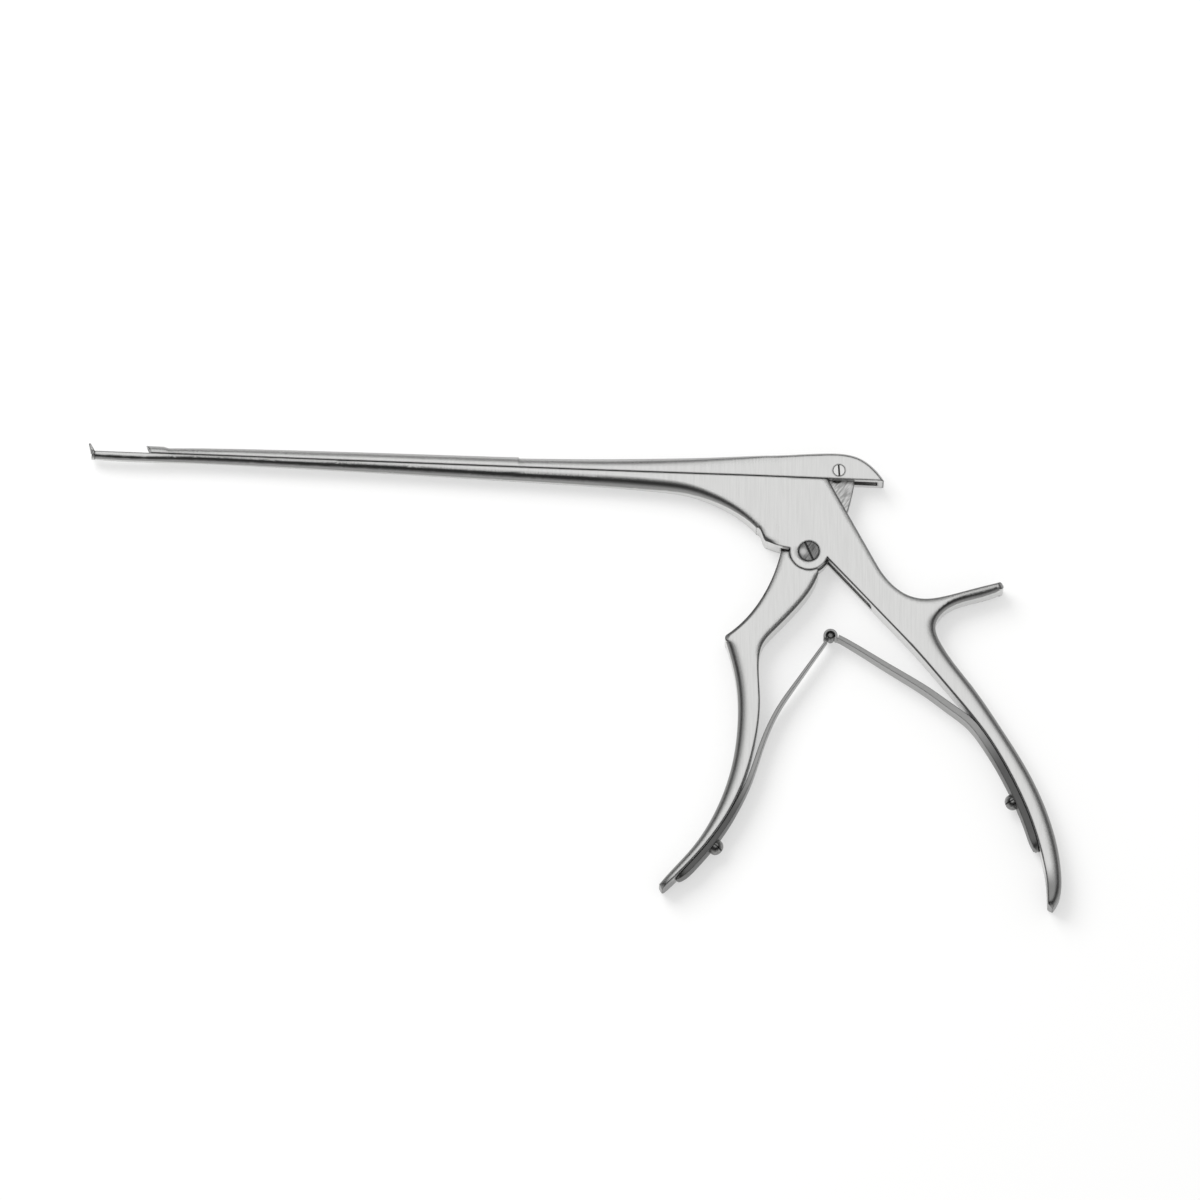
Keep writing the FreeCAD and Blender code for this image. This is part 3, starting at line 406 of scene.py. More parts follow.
def grained(tree, grain, limits, grey_value, darker, lighter):
    """A grey that a grain makes darker and lighter, with the grain's contrast stretched between limits."""
    contrast = ramp(tree, grain, [(limits[0], 0.0), (limits[1], 1.0)])
    return mix_colour(tree, contrast, grey(grey_value * darker), grey(grey_value * lighter))


def relief(tree, height, strength, depth):
    """The normal of a fine relief."""
    bump = add(tree, "ShaderNodeBump")
    return feed(tree, bump, Strength=strength, Distance=depth, Height=height).outputs[0]


def attribute(tree, name):
    """The value of a mesh attribute in a material."""
    return add(tree, "ShaderNodeAttribute", attribute_name=name).outputs["Fac"]


def satin_steel(settings, groups, piece):
    """Forged pieces: ground faces with a fine upright grain, and rounded edges a little glossier, with
    painted dark reflections on them and painted shade at tips, narrow edges and gaps.
    """
    material, tree, shader, place = principled("satin_steel_" + piece)
    turn, pitch = settings.grain_turn, settings.grain_pitch
    brush = use_group(tree, groups["brushing"], Vector=place, Turn=turn, Pitch=pitch)
    grain = brush.outputs["Grain"]
    edge_shading = use_group(tree, groups["edge_shading"], Radius=0.75 * MM, Normal=relief(tree, grain, 0.3, 0.01 * MM))
    rounding_reflection = use_group(tree, groups["rounding_reflection"], Radius=BROAD_ROUNDING)
    # Bands of painted dark reflection where broad roundings meet the flat faces
    bands = broad_bands(tree, place, rounding_reflection, BROAD_ZONES[piece])
    tone = grained(tree, grain, (0.34, 0.66), settings.satin_grey, 0.95, 1.05)
    # Painted shade on the lever tang's face, with its file marks
    if piece == "front_handle":
        tone = tang_marks(tree, place, tone, settings)
    # Painted reflections on the roundings and broad bands: greys that stand for the dim room and the floor
    # mirrored there
    inner, outer = ROUNDING_GREYS[piece]
    painted_rounding_tone = mix_colour(tree, rounding_reflection.outputs["Outer"], grey(inner), grey(outer))
    mask = math_node(tree, "MAXIMUM", rounding_reflection.outputs["Mask"], bands)
    tone = mix_colour(tree, mask, tone, painted_rounding_tone)
    # Painted shade that darkens the grips' tips
    for point, reach in SHADED_TIPS.get(piece, ()):
        end = near_point(tree, place, point, 0.55 * reach, reach)
        tone = mix_colour(tree, end, tone, grey(settings.tip_shade_grey))
    # Painted shade along the narrow edges
    tone = mix_colour(tree, edge_shading.outputs["Mask"], tone, grey(settings.edge_grey))
    # Painted shade in the narrow gaps
    crevice = use_group(tree, groups["crevice"])
    tone = mix_colour(tree, crevice.outputs["Mask"], tone, grey(settings.crevice_grey))
    satin = between(tree, grain, settings.satin_roughness - 0.05, settings.satin_roughness + 0.07)
    smoother = math_node(tree, "MULTIPLY", mask, -0.1)
    roughness = math_node(tree, "ADD", satin, smoother, clamp=True)
    rounded = mix_vector(tree, bands, edge_shading.outputs["Normal"], rounding_reflection.outputs["Normal"])
    feed(tree, shader, Base_Color=tone, Roughness=roughness, Normal=rounded, Metallic=1.0)
    return material


def spring_steel(settings, groups):
    """Leaves: rolled strip with a fine grain along it and a matt grey surface, darker towards their feet,
    with a painted highlight along the edges and painted shade in the gaps.
    """
    material, tree, shader, place = principled("spring_steel_finish")
    turn = math.radians(50)
    brush = use_group(tree, groups["brushing"], Vector=place, Turn=turn, Pitch=0.14, Length=5.0)
    grain = brush.outputs["Grain"]
    edge_shading = use_group(tree, groups["edge_shading"], Radius=0.2 * MM, Normal=relief(tree, grain, 0.2, 0.008 * MM))
    rolled = grained(tree, grain, (0.3, 0.7), settings.spring_grey, 0.86, 1.1)
    clouds = between(tree, brush.outputs["Cloud"], 0.0, 0.35)
    tone = mix_colour(tree, clouds, rolled, grey(settings.spring_grey * 0.7))
    for screw in ("rear_spring_screw", "front_spring_screw"):
        foot = (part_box(screw)[0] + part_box(screw)[1]) / 2
        near_foot = near_point(tree, place, foot, 9 * MM, 24 * MM)
        tone = mix_colour(tree, near_foot, tone, grey(settings.foot_grey))
    # Painted highlight along the strips' edges
    tone = mix_colour(tree, edge_shading.outputs["Mask"], tone, grey(settings.spring_grey * 1.35))
    # Painted shade in the gaps beside the leaves
    crevice = use_group(tree, groups["crevice"], Reach=2.5 * MM)
    tone = mix_colour(tree, crevice.outputs["Mask"], tone, grey(settings.crevice_grey))
    roughness = between(tree, grain, 0.34, 0.46)
    feed(tree, shader, Base_Color=tone, Roughness=roughness, Normal=edge_shading.outputs["Normal"], Metallic=1.0)
    return material


def screw_steel(settings, groups):
    """Screws and bead: turned, with faint rings round their axis and streaks across the dark ones; a painted
    highlight on the pivot's head, and painted shade at its rim, along the edges and in the slots.
    """
    material, tree, shader, place = principled("screw_steel_finish")
    radius = attribute(tree, "axis_distance")
    rings = math_node(tree, "SINE", math_node(tree, "MULTIPLY", radius, settings.ring_density))
    turn = PIVOT_SLOT_TURN + math.pi / 2
    brush = use_group(tree, groups["brushing"], Vector=place, Turn=turn, Pitch=0.3, Length=3.0)
    grain = brush.outputs["Grain"]
    normal = relief(tree, math_node(tree, "ADD", rings, grain), 0.15, 0.006 * MM)
    edge_shading = use_group(tree, groups["edge_shading"], Radius=0.15 * MM, Normal=normal)
    dark = grained(tree, grain, (0.34, 0.66), settings.screw_grey, 0.45, 1.7)
    # Painted highlight: a light crescent on the pivot screw's head
    crescent = near_point(tree, place, PIVOT_CRESCENT, 0.3 * MM, 1.5 * MM)
    dark = mix_colour(tree, crescent, dark, grey(settings.screw_grey * 3))
    # Painted shade: a dark ring at the rim of the head
    rim = feed(tree, add(tree, "ShaderNodeMapRange"), Value=radius, From_Min=2.3 * MM, From_Max=2.65 * MM)
    dark = mix_colour(tree, rim.outputs[0], dark, grey(settings.screw_grey * 0.3))
    face = mix_colour(tree, attribute(tree, "tone"), dark, grey(settings.bright_screw_grey))
    # Painted shade along the screws' edges
    tone = mix_colour(tree, edge_shading.outputs["Mask"], face, grey(settings.screw_grey * 0.5))
    # Painted shade in the slots
    tone = mix_colour(tree, attribute(tree, "in_slot"), tone, grey(settings.crevice_grey))
    roughness = between(tree, grain, 0.2, 0.32)
    feed(tree, shader, Base_Color=tone, Roughness=roughness, Normal=edge_shading.outputs["Normal"], Metallic=1.0)
    return material


def finish_named(name, piece=""):
    """The finish of that name, made once with its shared groups, and satin steel once for each forging."""
    material = bpy.data.materials.get(name + "_" + (piece or "finish"))
    if material:
        return material
    settings = bpy.context.scene.rongeur_steel
    groups = {
        "brushing": bpy.data.node_groups.get("Fine Brushing") or fine_brushing(),
        "edge_shading": bpy.data.node_groups.get("Painted Edge Shading") or painted_edge_shading(),
        "rounding_reflection": bpy.data.node_groups.get("Painted Rounding Reflection") or painted_rounding_reflection(),
        "crevice": bpy.data.node_groups.get("Crevice Shade") or crevice_shade(),
    }
    if name == "satin_steel":
        return satin_steel(settings, groups, piece)
    return {"spring_steel": spring_steel, "screw_steel": screw_steel}[name](settings, groups)


def dress(node_name, slot_name, piece=""):
    """Gives a solid of the instrument its finish."""
    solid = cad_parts[node_name]
    solid.data.materials.clear()
    solid.data.materials.append(finish_named(slot_name, piece))


def surface_tree(node_name):
    """A search tree over a solid's triangles."""
    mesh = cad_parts[node_name].data
    corners = [vertex.co.copy() for vertex in mesh.vertices]
    return BVHTree.FromPolygons(corners, [tuple(face.vertices) for face in mesh.polygons])


def leaf_path(node_name, hinge_reach):
    """Middle line of a leaf from foot to hinge: (point, half width, half thickness) at each station."""
    tree = surface_tree(node_name)
    low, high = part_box(node_name)
    foot_x = low.x if (low.x + high.x) / 2 < HINGE.x else high.x
    foot = Vector((foot_x, low.y, MID_Z))
    hinge = Vector((HINGE.x, HINGE.y, MID_Z))
    chord = hinge - foot
    side = Vector((-chord.y, chord.x, 0)).normalized()
    reach = chord.length
    off_middle = Vector((0, 0, PROBE_OFF_MIDDLE))
    found = []
    for step in range(LEAF_STATIONS + 1):
        middle = foot + chord * (step / LEAF_STATIONS) + off_middle
        near = tree.ray_cast(middle + side * reach, -side)[0]
        far = tree.ray_cast(middle - side * reach, side)[0]
        if near is None or far is None or (near - far).length > THICKEST_LEAF:
            continue
        point = (near + far) / 2 - off_middle
        edge = tree.ray_cast(Vector((point.x, point.y, low.z - 1 * MM)), Vector((0, 0, 1)))[0]
        if edge is not None and (point - hinge).length > hinge_reach:
            found.append((point, MID_Z - edge.z, (near - far).length))
    path = []
    for k, (point, half_width, across) in enumerate(found):
        ahead = (found[min(k + 1, len(found) - 1)][0] - found[max(k - 1, 0)][0]).normalized()
        path.append((point, half_width, across * abs(ahead.dot(chord.normalized())) / 2))
    return path


def pointed_foot(path, towards):
    """The path with its first millimetres thinned to a rounded foot against the handle, towards X or -X."""
    pointed = []
    for k, (point, half_width, half_thickness) in enumerate(path):
        run = min((point - path[0][0]).length / FOOT_TAPER, 1.0)
        share = 0.3 + 0.7 * math.sqrt(run * (2.0 - run))
        ahead = (path[min(k + 1, len(path) - 1)][0] - path[max(k - 1, 0)][0]).normalized()
        side = Vector((-ahead.y, ahead.x, 0))
        if side.x * towards < 0:
            side = -side
        point = point + side * (1.0 - share) * half_thickness
        pointed.append((point, half_width * share, half_thickness * share))
    return pointed


def poly_line(name, path):
    """A mesh of edges along a path, with the leaf's half width and half thickness stored at each point."""
    mesh = bpy.data.meshes.new(name)
    edges = [(k, k + 1) for k in range(len(path) - 1)]
    mesh.from_pydata([tuple(point) for point, _, _ in path], edges, [])
    for label, place in (("half_width", 1), ("half_thickness", 2)):
        stored = mesh.attributes.new(label, "FLOAT", "POINT")
        stored.data.foreach_set("value", [item[place] for item in path])
    return mesh


def node_tree(name, inputs):
    """An empty geometry node tree with a geometry output and these inputs."""
    tree = bpy.data.node_groups.new(name, "GeometryNodeTree")
    tree.interface.new_socket("Geometry", in_out="INPUT", socket_type="NodeSocketGeometry")
    for label, kind, default in inputs:
        socket = tree.interface.new_socket(label, in_out="INPUT", socket_type=kind)
        if default is not None:
            socket.default_value = default
    tree.interface.new_socket("Geometry", in_out="OUTPUT", socket_type="NodeSocketGeometry")
    return tree


def close_tree(tree, geometry, material):
    """Ends a geometry node tree in Realize Instances and Set Material."""
    real = feed(tree, add(tree, "GeometryNodeRealizeInstances"), Geometry=geometry)
    painted = feed(tree, add(tree, "GeometryNodeSetMaterial"), Geometry=real.outputs[0], Material=material)
    tree.links.new(painted.outputs[0], add(tree, "NodeGroupOutput").inputs[0])


def stored(tree, geometry, label, value, kind="FLOAT", domain="POINT"):
    """The geometry with a value stored under a name."""
    node = add(tree, "GeometryNodeStoreNamedAttribute", data_type=kind, domain=domain)
    return feed(tree, node, Geometry=geometry, Name=label, Value=value).outputs[0]


def smooth_by_angle(tree, geometry, degrees):
    """Smooth shading with sharp edges where faces meet at more than this angle."""
    angle = add(tree, "GeometryNodeInputMeshEdgeAngle").outputs["Unsigned Angle"]
    sharp = add(tree, "FunctionNodeCompare", data_type="FLOAT", operation="GREATER_THAN")
    fill(tree, sharp.inputs, (angle, math.radians(degrees)))
    faces = feed(tree, add(tree, "GeometryNodeSetShadeSmooth", domain="FACE"), Geometry=geometry)
    edges = add(tree, "GeometryNodeSetShadeSmooth", domain="EDGE")
    feed(tree, edges, Geometry=faces.outputs[0], Selection=sharp.outputs[0], Shade_Smooth=False)
    return edges.outputs[0]


def named(tree, kind, name):
    """The value of a stored attribute in a geometry node tree."""
    node = add(tree, "GeometryNodeInputNamedAttribute", data_type=kind)
    node.inputs["Name"].default_value = name
    return node.outputs[0]


def leaf_strip_tree():
    """Sweeps a strip with rounded long edges along a path, as wide and as thick at each point as it says."""
    tree = node_tree("Leaf Strip", [
        ("Thickest", "NodeSocketFloat", 1.0 * MM),
        ("Widest", "NodeSocketFloat", 5.7 * MM),
        ("Edge Rounding", "NodeSocketFloat", 0.2 * MM),
        ("Step", "NodeSocketFloat", 0.6 * MM),
        ("Material", "NodeSocketMaterial", None),
    ])
    start = add(tree, "NodeGroupInput").outputs
    path = feed(tree, add(tree, "GeometryNodeMeshToCurve"), Mesh=start["Geometry"])
    even = add(tree, "GeometryNodeResampleCurve", mode="LENGTH")
    feed(tree, even, Curve=path.outputs[0], Length=start["Step"])
    place = add(tree, "GeometryNodeInputPosition").outputs[0]
    marked = stored(tree, even.outputs[0], "middle", place, kind="FLOAT_VECTOR")
    upright = feed(tree, add(tree, "GeometryNodeSetCurveNormal", mode="Z_UP"), Curve=marked)
    outline = add(tree, "GeometryNodeCurvePrimitiveQuadrilateral")
    feed(tree, outline, Width=start["Thickest"], Height=start["Widest"])
    rounded = add(tree, "GeometryNodeFilletCurve", mode="POLY")
    feed(tree, rounded, Curve=outline.outputs[0], Radius=start["Edge Rounding"], Count=4)
    sweep = add(tree, "GeometryNodeCurveToMesh")
    feed(tree, sweep, Curve=upright.outputs[0], Profile_Curve=rounded.outputs[0], Fill_Caps=True)
    from_middle = vector_math(tree, "SUBTRACT", place, named(tree, "FLOAT_VECTOR", "middle"))
    offsets = []
    for mask, label, largest in (
        ((0.0, 0.0, 1.0), "half_width", start["Widest"]),
        ((1.0, 1.0, 0.0), "half_thickness", start["Thickest"]),
    ):
        way = vector_math(tree, "NORMALIZE", vector_math(tree, "MULTIPLY", from_middle, mask))
        half_largest = math_node(tree, "MULTIPLY", largest, 0.5)
        change = math_node(tree, "SUBTRACT", named(tree, "FLOAT", label), half_largest)
        offsets.append(scaled(tree, way, change))
    fitted = add(tree, "GeometryNodeSetPosition")
    feed(tree, fitted, Geometry=sweep.outputs[0], Offset=vector_math(tree, "ADD", offsets[0], offsets[1]))
    close_tree(tree, smooth_by_angle(tree, fitted.outputs[0], 50), start["Material"])
    return tree


def lathe(tree, profile, steps_around, place):
    """Turns a half profile, given in X and Z, about Z: a sheet wrapped round the axis and closed."""
    size = feed(tree, add(tree, "GeometryNodeAttributeDomainSize", component="MESH"), Geometry=profile)
    rows = size.outputs["Point Count"]
    sheet = add(tree, "GeometryNodeMeshGrid")
    feed(tree, sheet, Vertices_X=math_node(tree, "ADD", steps_around, 1.0), Vertices_Y=rows)
    index = add(tree, "GeometryNodeInputIndex").outputs[0]
    share = math_node(tree, "DIVIDE", math_node(tree, "ADD", index, 0.5), rows)
    step = math_node(tree, "FLOOR", share)
    row = math_node(tree, "SUBTRACT", index, math_node(tree, "MULTIPLY", step, rows))
    angle = math_node(tree, "DIVIDE", math_node(tree, "MULTIPLY", step, 2 * math.pi), steps_around)
    corner = add(tree, "GeometryNodeSampleIndex", data_type="FLOAT_VECTOR", domain="POINT")
    feed(tree, corner, Geometry=profile, Value=place, Index=row)
    parts = separated(tree, corner.outputs[0])
    ring = combined(
        tree, Z=parts["Z"],
        X=math_node(tree, "MULTIPLY", parts["X"], math_node(tree, "COSINE", angle)),
        Y=math_node(tree, "MULTIPLY", parts["X"], math_node(tree, "SINE", angle)),
    )
    turned = feed(tree, add(tree, "GeometryNodeSetPosition"), Geometry=sheet.outputs[0], Position=ring)
    closed = add(tree, "GeometryNodeMergeByDistance")
    return feed(tree, closed, Geometry=turned.outputs[0], Distance=0.001 * MM).outputs[0]


def slot_block(tree, start):
    """The block that cuts a screw's slot, across the top of its head."""
    depth = math_node(tree, "MULTIPLY", start["Slot Depth"], 2.0)
    block = add(tree, "GeometryNodeMeshCube")
    feed(tree, block, Size=combined(tree, X=20 * MM, Y=start["Slot Width"], Z=depth))
    placed = add(tree, "GeometryNodeTransform")
    lift = combined(tree, Z=start["Head Top"])
    turn = combined(tree, Z=start["Slot Turn"])
    return feed(tree, placed, Geometry=block.outputs[0], Translation=lift, Rotation=turn).outputs[0]


def slot_mask(tree, start, place):
    """1 on the faces inside a screw's slot, where shade is painted."""
    turn = math_node(tree, "MULTIPLY", start["Slot Turn"], -1.0)
    here = separated(tree, turned_about_z(tree, place, turn))
    edge = math_node(tree, "ADD", math_node(tree, "MULTIPLY", start["Slot Width"], 0.5), 0.01 * MM)
    between_walls = math_node(tree, "LESS_THAN", math_node(tree, "ABSOLUTE", here["Y"]), edge)
    return math_node(tree, "MULTIPLY", between_walls, math_node(tree, "GREATER_THAN", here["Z"], 0.0))


def turned_screw_tree():
    """Turns a half profile into a screw, cuts the slot across its head and stands it in its place."""
    tree = node_tree("Turned Screw", [
        ("Head Top", "NodeSocketFloat", 1.0 * MM),
        ("Slot Width", "NodeSocketFloat", 0.4 * MM),
        ("Slot Depth", "NodeSocketFloat", 0.5 * MM),
        ("Slot Turn", "NodeSocketFloat", 0.0),
        ("Steps Around", "NodeSocketInt", 72),
        ("Tone", "NodeSocketFloat", 0.0),
        ("Place", "NodeSocketVector", None),
        ("Turn", "NodeSocketVector", None),
        ("Material", "NodeSocketMaterial", None),
    ])
    start = add(tree, "NodeGroupInput").outputs
    place = add(tree, "GeometryNodeInputPosition").outputs[0]
    blank = lathe(tree, start["Geometry"], start["Steps Around"], place)
    cut = add(tree, "GeometryNodeMeshBoolean", operation="DIFFERENCE", solver="EXACT")
    tree.links.new(blank, cut.inputs["Mesh 1"])
    tree.links.new(slot_block(tree, start), cut.inputs["Mesh 2"])
    off_axis = vector_math(tree, "LENGTH", vector_math(tree, "MULTIPLY", place, (1.0, 1.0, 0.0)))
    geometry = stored(tree, cut.outputs[0], "axis_distance", off_axis)
    geometry = stored(tree, geometry, "tone", start["Tone"])
    geometry = stored(tree, geometry, "in_slot", slot_mask(tree, start, place), domain="FACE")
    stood = add(tree, "GeometryNodeTransform")
    feed(tree, stood, Geometry=geometry, Translation=start["Place"], Rotation=start["Turn"])
    close_tree(tree, smooth_by_angle(tree, stood.outputs[0], 40), start["Material"])
    return tree


def placed_object(name, data):
    """A new object of the scene."""
    item = bpy.data.objects.new(name, data)
    bpy.context.scene.collection.objects.link(item)
    return item


def baked(name, mesh, tree, inputs):
    """The plain mesh that a geometry node tree makes from a start mesh."""
    source = placed_object(name + "_source", mesh)
    modifier = source.modifiers.new("Shape", "NODES")
    modifier.node_group = tree
    for item in tree.interface.items_tree:
        if item.item_type == "SOCKET" and item.in_out == "INPUT" and item.name in inputs:
            modifier[item.identifier] = inputs[item.name]
    depsgraph = bpy.context.evaluated_depsgraph_get()
    result = bpy.data.meshes.new_from_object(
        source.evaluated_get(depsgraph), preserve_all_data_layers=True, depsgraph=depsgraph
    )
    bpy.data.objects.remove(source)
    if not result.polygons:
        raise RuntimeError(name + " came out empty")
    result.name = name
    return result


def joined(name, meshes):
    """One object at the origin from several meshes."""
    objects = [placed_object(name, mesh) for mesh in meshes]
    if len(objects) > 1:
        with bpy.context.temp_override(active_object=objects[0], selected_editable_objects=objects):
            bpy.ops.object.join()
    objects[0].name = name
    return objects[0]


def rolled_end():
    """Path of the rear leaf's end, rolled round the bead."""
    radius = BEAD_RADIUS + SOCKET_CLEARANCE + SOCKET_WALL / 2
    path = []
    for step in range(SOCKET_STEPS + 1):
        angle = math.radians(SOCKET_ANGLES[0] + (SOCKET_ANGLES[1] - SOCKET_ANGLES[0]) * step / SOCKET_STEPS)
        point = Vector((HINGE.x + radius * math.cos(angle), HINGE.y + radius * math.sin(angle), MID_Z))
        path.append((point, BEAD_HALF_WIDTH, SOCKET_WALL / 2))
    return path


def strip(name, path, step):
    """A plain mesh of the strip along a path."""
    tree = bpy.data.node_groups.get("Leaf Strip") or leaf_strip_tree()
    thickest = 2 * max(item[2] for item in path)
    return baked(name, poly_line(name, path), tree, {
        "Thickest": thickest,
        "Widest": 2 * max(item[1] for item in path),
        "Edge Rounding": min(bpy.context.scene.rongeur_springs.edge_rounding, 0.4 * thickest),
        "Step": step,
        "Material": finish_named("spring_steel"),
    })


def make_leaf(node_name, hinge_reach, ends, towards):
    """A leaf spring: a tapered strip and its end, bending from its carrier to the hinge."""
    step = bpy.context.scene.rongeur_springs.step
    path = pointed_foot(leaf_path(node_name, hinge_reach), towards)
    meshes = [strip(node_name + "_strip", path, step)]
    for end in ends:
        meshes.append(strip(node_name + "_end", end, step / 4))
    leaf = joined(node_name.replace("_spring", ""), meshes)
    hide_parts(node_name)
    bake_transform(leaf)
    return leaf


def screw_profile(head_radius, head_height, edge_height, shank_radius, shank_length):
    """Half profile of a screw with a crowned head, from its tip to its crown, as a mesh of edges."""
    crown = head_height - edge_height
    nose = SCREW_NOSE
    points = [
        (0.0, -shank_length), (shank_radius - nose, -shank_length), (shank_radius, nose - shank_length),
        (shank_radius, 0.0), (head_radius, 0.0), (head_radius, edge_height),
    ]
    for step in range(1, CROWN_STEPS + 1):
        angle = math.radians(90 * step / CROWN_STEPS)
        points.append((head_radius * math.cos(angle), edge_height + crown * math.sin(angle)))
    mesh = bpy.data.meshes.new("screw_profile")
    edges = [(k, k + 1) for k in range(len(points) - 1)]
    mesh.from_pydata([(max(radius, 0.0), 0.0, height) for radius, height in points], edges, [])
    return mesh


def lying_screw(node_name, head_radius, shank_radius):
    """Where the underside of a lying screw's head is, and the turn that stands the screw there."""
    low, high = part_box(node_name)
    middle = (low + high) / 2
    corners = [vertex.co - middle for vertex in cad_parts[node_name].data.vertices]
    best = None
    for step in range(TURNS_TRIED):
        angle = math.pi * step / TURNS_TRIED
        across = Vector((-math.sin(angle), math.cos(angle), 0))
        spread = [corner.dot(across) for corner in corners]
        width = max(spread) - min(spread)
        if best is None or width < best[0]:
            best = (width, angle, (max(spread) + min(spread)) / 2)
    _, angle, offset = best
    axis = Vector((math.cos(angle), math.sin(angle), 0))
    across = Vector((-math.sin(angle), math.cos(angle), 0))
    head_line = (head_radius + shank_radius) / 2
    heads = [corner.dot(axis) for corner in corners if abs(corner.dot(across) - offset) > head_line]
    if sum(heads) < 0:
        axis = -axis
        heads = [-height for height in heads]
    place = middle + across * offset + axis * min(heads)
    return place, (-math.pi / 2, 0.0, math.atan2(axis.y, axis.x) - math.pi / 2)


def make_screw(node_name, body, sizes, slot_turn, slot_width, tone, place, turn=(0.0, 0.0, 0.0)):
    """A turned, slotted screw in the place of its plain solid."""
    settings = bpy.context.scene.rongeur_screws
    tree = bpy.data.node_groups.get("Turned Screw") or turned_screw_tree()
    mesh = baked(node_name + "_turned", screw_profile(*sizes), tree, {
        "Head Top": sizes[1],
        "Slot Width": slot_width,
        "Slot Depth": settings.slot_depth,
        "Slot Turn": slot_turn,
        "Tone": tone,
        "Place": tuple(place),
        "Turn": turn,
        "Material": finish_named("screw_steel"),
    })
    screw = joined(node_name + "_turned", [mesh])
    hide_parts(node_name)
    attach(screw, body)
    return screw


class RongeurStage(bpy.types.PropertyGroup):
    """How the instrument is lit and seen."""

    lens: bpy.props.FloatProperty(
        name="Lens", description="Focal length; long, because the picture shows no perspective",
        default=900.0, min=50.0, unit="CAMERA")
    key_power: bpy.props.FloatProperty(
        name="Key", description="Power of the lamp that casts the shadow",
        default=12.5, min=0.0, unit="POWER")
    fill: bpy.props.FloatProperty(
        name="Fill", description="Even light from all round", default=0.66, min=0.0, max=2.0)
    floor_colour: bpy.props.FloatVectorProperty(
        name="Floor", description="Colour of the pale floor", subtype="COLOR", size=4,
        default=(0.98, 0.98, 0.98, 1.0), min=0.0, max=1.0)
    shadow_share: bpy.props.FloatProperty(
        name="Shadow", description="How much of the shadow the floor shows", default=0.5, min=0.0, max=1.0)


def grey_setting(name, description, default):
    """A grey from black to white."""
    return bpy.props.FloatProperty(name=name, description=description, default=default, min=0.0, max=1.0)


class RongeurSteel(bpy.types.PropertyGroup):
    """Tones and grain of the steels."""

    satin_grey: grey_setting("Satin", "Grey of the ground faces", 0.72)
    edge_grey: grey_setting("Edges", "Grey of the painted shade on narrow edges", 0.12)
    tip_shade_grey: grey_setting("Tips", "Grey of the painted shade on the tips of the grips", 0.26)
    tang_grey: grey_setting("Tang", "Grey of the lever tang's face, darker by painted shade, with file marks", 0.54)
    crevice_grey: grey_setting("Crevices", "Grey of the narrow gaps and the slots", 0.04)
    spring_grey: grey_setting("Springs", "Grey of the leaves", 0.42)
    foot_grey: grey_setting("Spring feet", "Grey of the leaves at their screws", 0.13)
    screw_grey: grey_setting("Screws", "Grey of the dark screws", 0.17)
    bright_screw_grey: grey_setting("Bright screws", "Grey of the bright screws", 0.75)
    satin_roughness: bpy.props.FloatProperty(
        name="Roughness", description="Roughness of the ground faces", default=0.3, min=0.05, max=1.0)
    grain_pitch: bpy.props.FloatProperty(
        name="Grain pitch", description="Distance between scratches, in millimetres", default=0.4, min=0.05)
    grain_turn: bpy.props.FloatProperty(
        name="Grain turn", description="Lean of the scratches", default=math.radians(-2.3), subtype="ANGLE")
    ring_density: bpy.props.FloatProperty(
        name="Rings", description="Turning marks, in radians a metre", default=30000.0, min=0.0)


class RongeurSprings(bpy.types.PropertyGroup):
    """Leaf springs and their hinge."""

    edge_rounding: bpy.props.FloatProperty(
        name="Edge rounding", description="Radius of the strips' long edges",
        default=0.22 * MM, unit="LENGTH")
    step: bpy.props.FloatProperty(
        name="Step", description="Length of a strip's facets", default=0.6 * MM, unit="LENGTH")


class RongeurScrews(bpy.types.PropertyGroup):
    """Slots of the screws."""

    slot_width: bpy.props.FloatProperty(
        name="Slot width", description="Width of the small slots", default=0.4 * MM, unit="LENGTH")
    pivot_slot_width: bpy.props.FloatProperty(
        name="Pivot slot width", description="Width of the pivot screw's slot",
        default=0.5 * MM, unit="LENGTH")
    slot_depth: bpy.props.FloatProperty(
        name="Slot depth", description="Depth of the slots", default=0.5 * MM, unit="LENGTH")


def picture_ray(pixel):
    """Offset of a pixel from the picture's middle, in metres in the picture's plane."""
    middle = PICTURE_PIXELS / 2
    return ((pixel[0] - middle) * MM_PER_PIXEL * MM, (middle - pixel[1]) * MM_PER_PIXEL * MM)


def place_camera(lens):
    """A long lens that sees the pivot screw's face at its place in the picture."""
    data = bpy.data.cameras.new("Camera")
    camera = placed_object("Camera", data)
    bpy.context.scene.camera = camera
    data.lens = lens
    distance = PICTURE_PIXELS * MM_PER_PIXEL * MM * lens / data.sensor_width
    tilt = math.radians(VIEW_TILT)
    roll = math.radians(VIEW_ROLL)
    turn = Matrix.Rotation(tilt, 3, "X") @ Matrix.Rotation(roll, 3, "Z")
    right, up, back = turn.col[0], turn.col[1], turn.col[2]
    pivot_face = Vector((0, 0, HIGH_FACE))
    across, above = picture_ray(PIVOT_PIXEL)
    middle = pivot_face - right * across - up * above
    camera.matrix_world = Matrix.Translation(middle + back * distance) @ turn.to_4x4()
    data.clip_start = 0.1
    data.clip_end = 4 * distance


def lamp(name, place, target, size, power):
    """A soft rectangular lamp that points at a place."""
    data = bpy.data.lights.new(name, "AREA")
    data.shape = "RECTANGLE"
    data.size, data.size_y = size
    data.energy = power
    item = placed_object(name, data)
    item.location = place
    item.rotation_euler = (Vector(target) - Vector(place)).to_track_quat("-Z", "Y").to_euler()
    return item


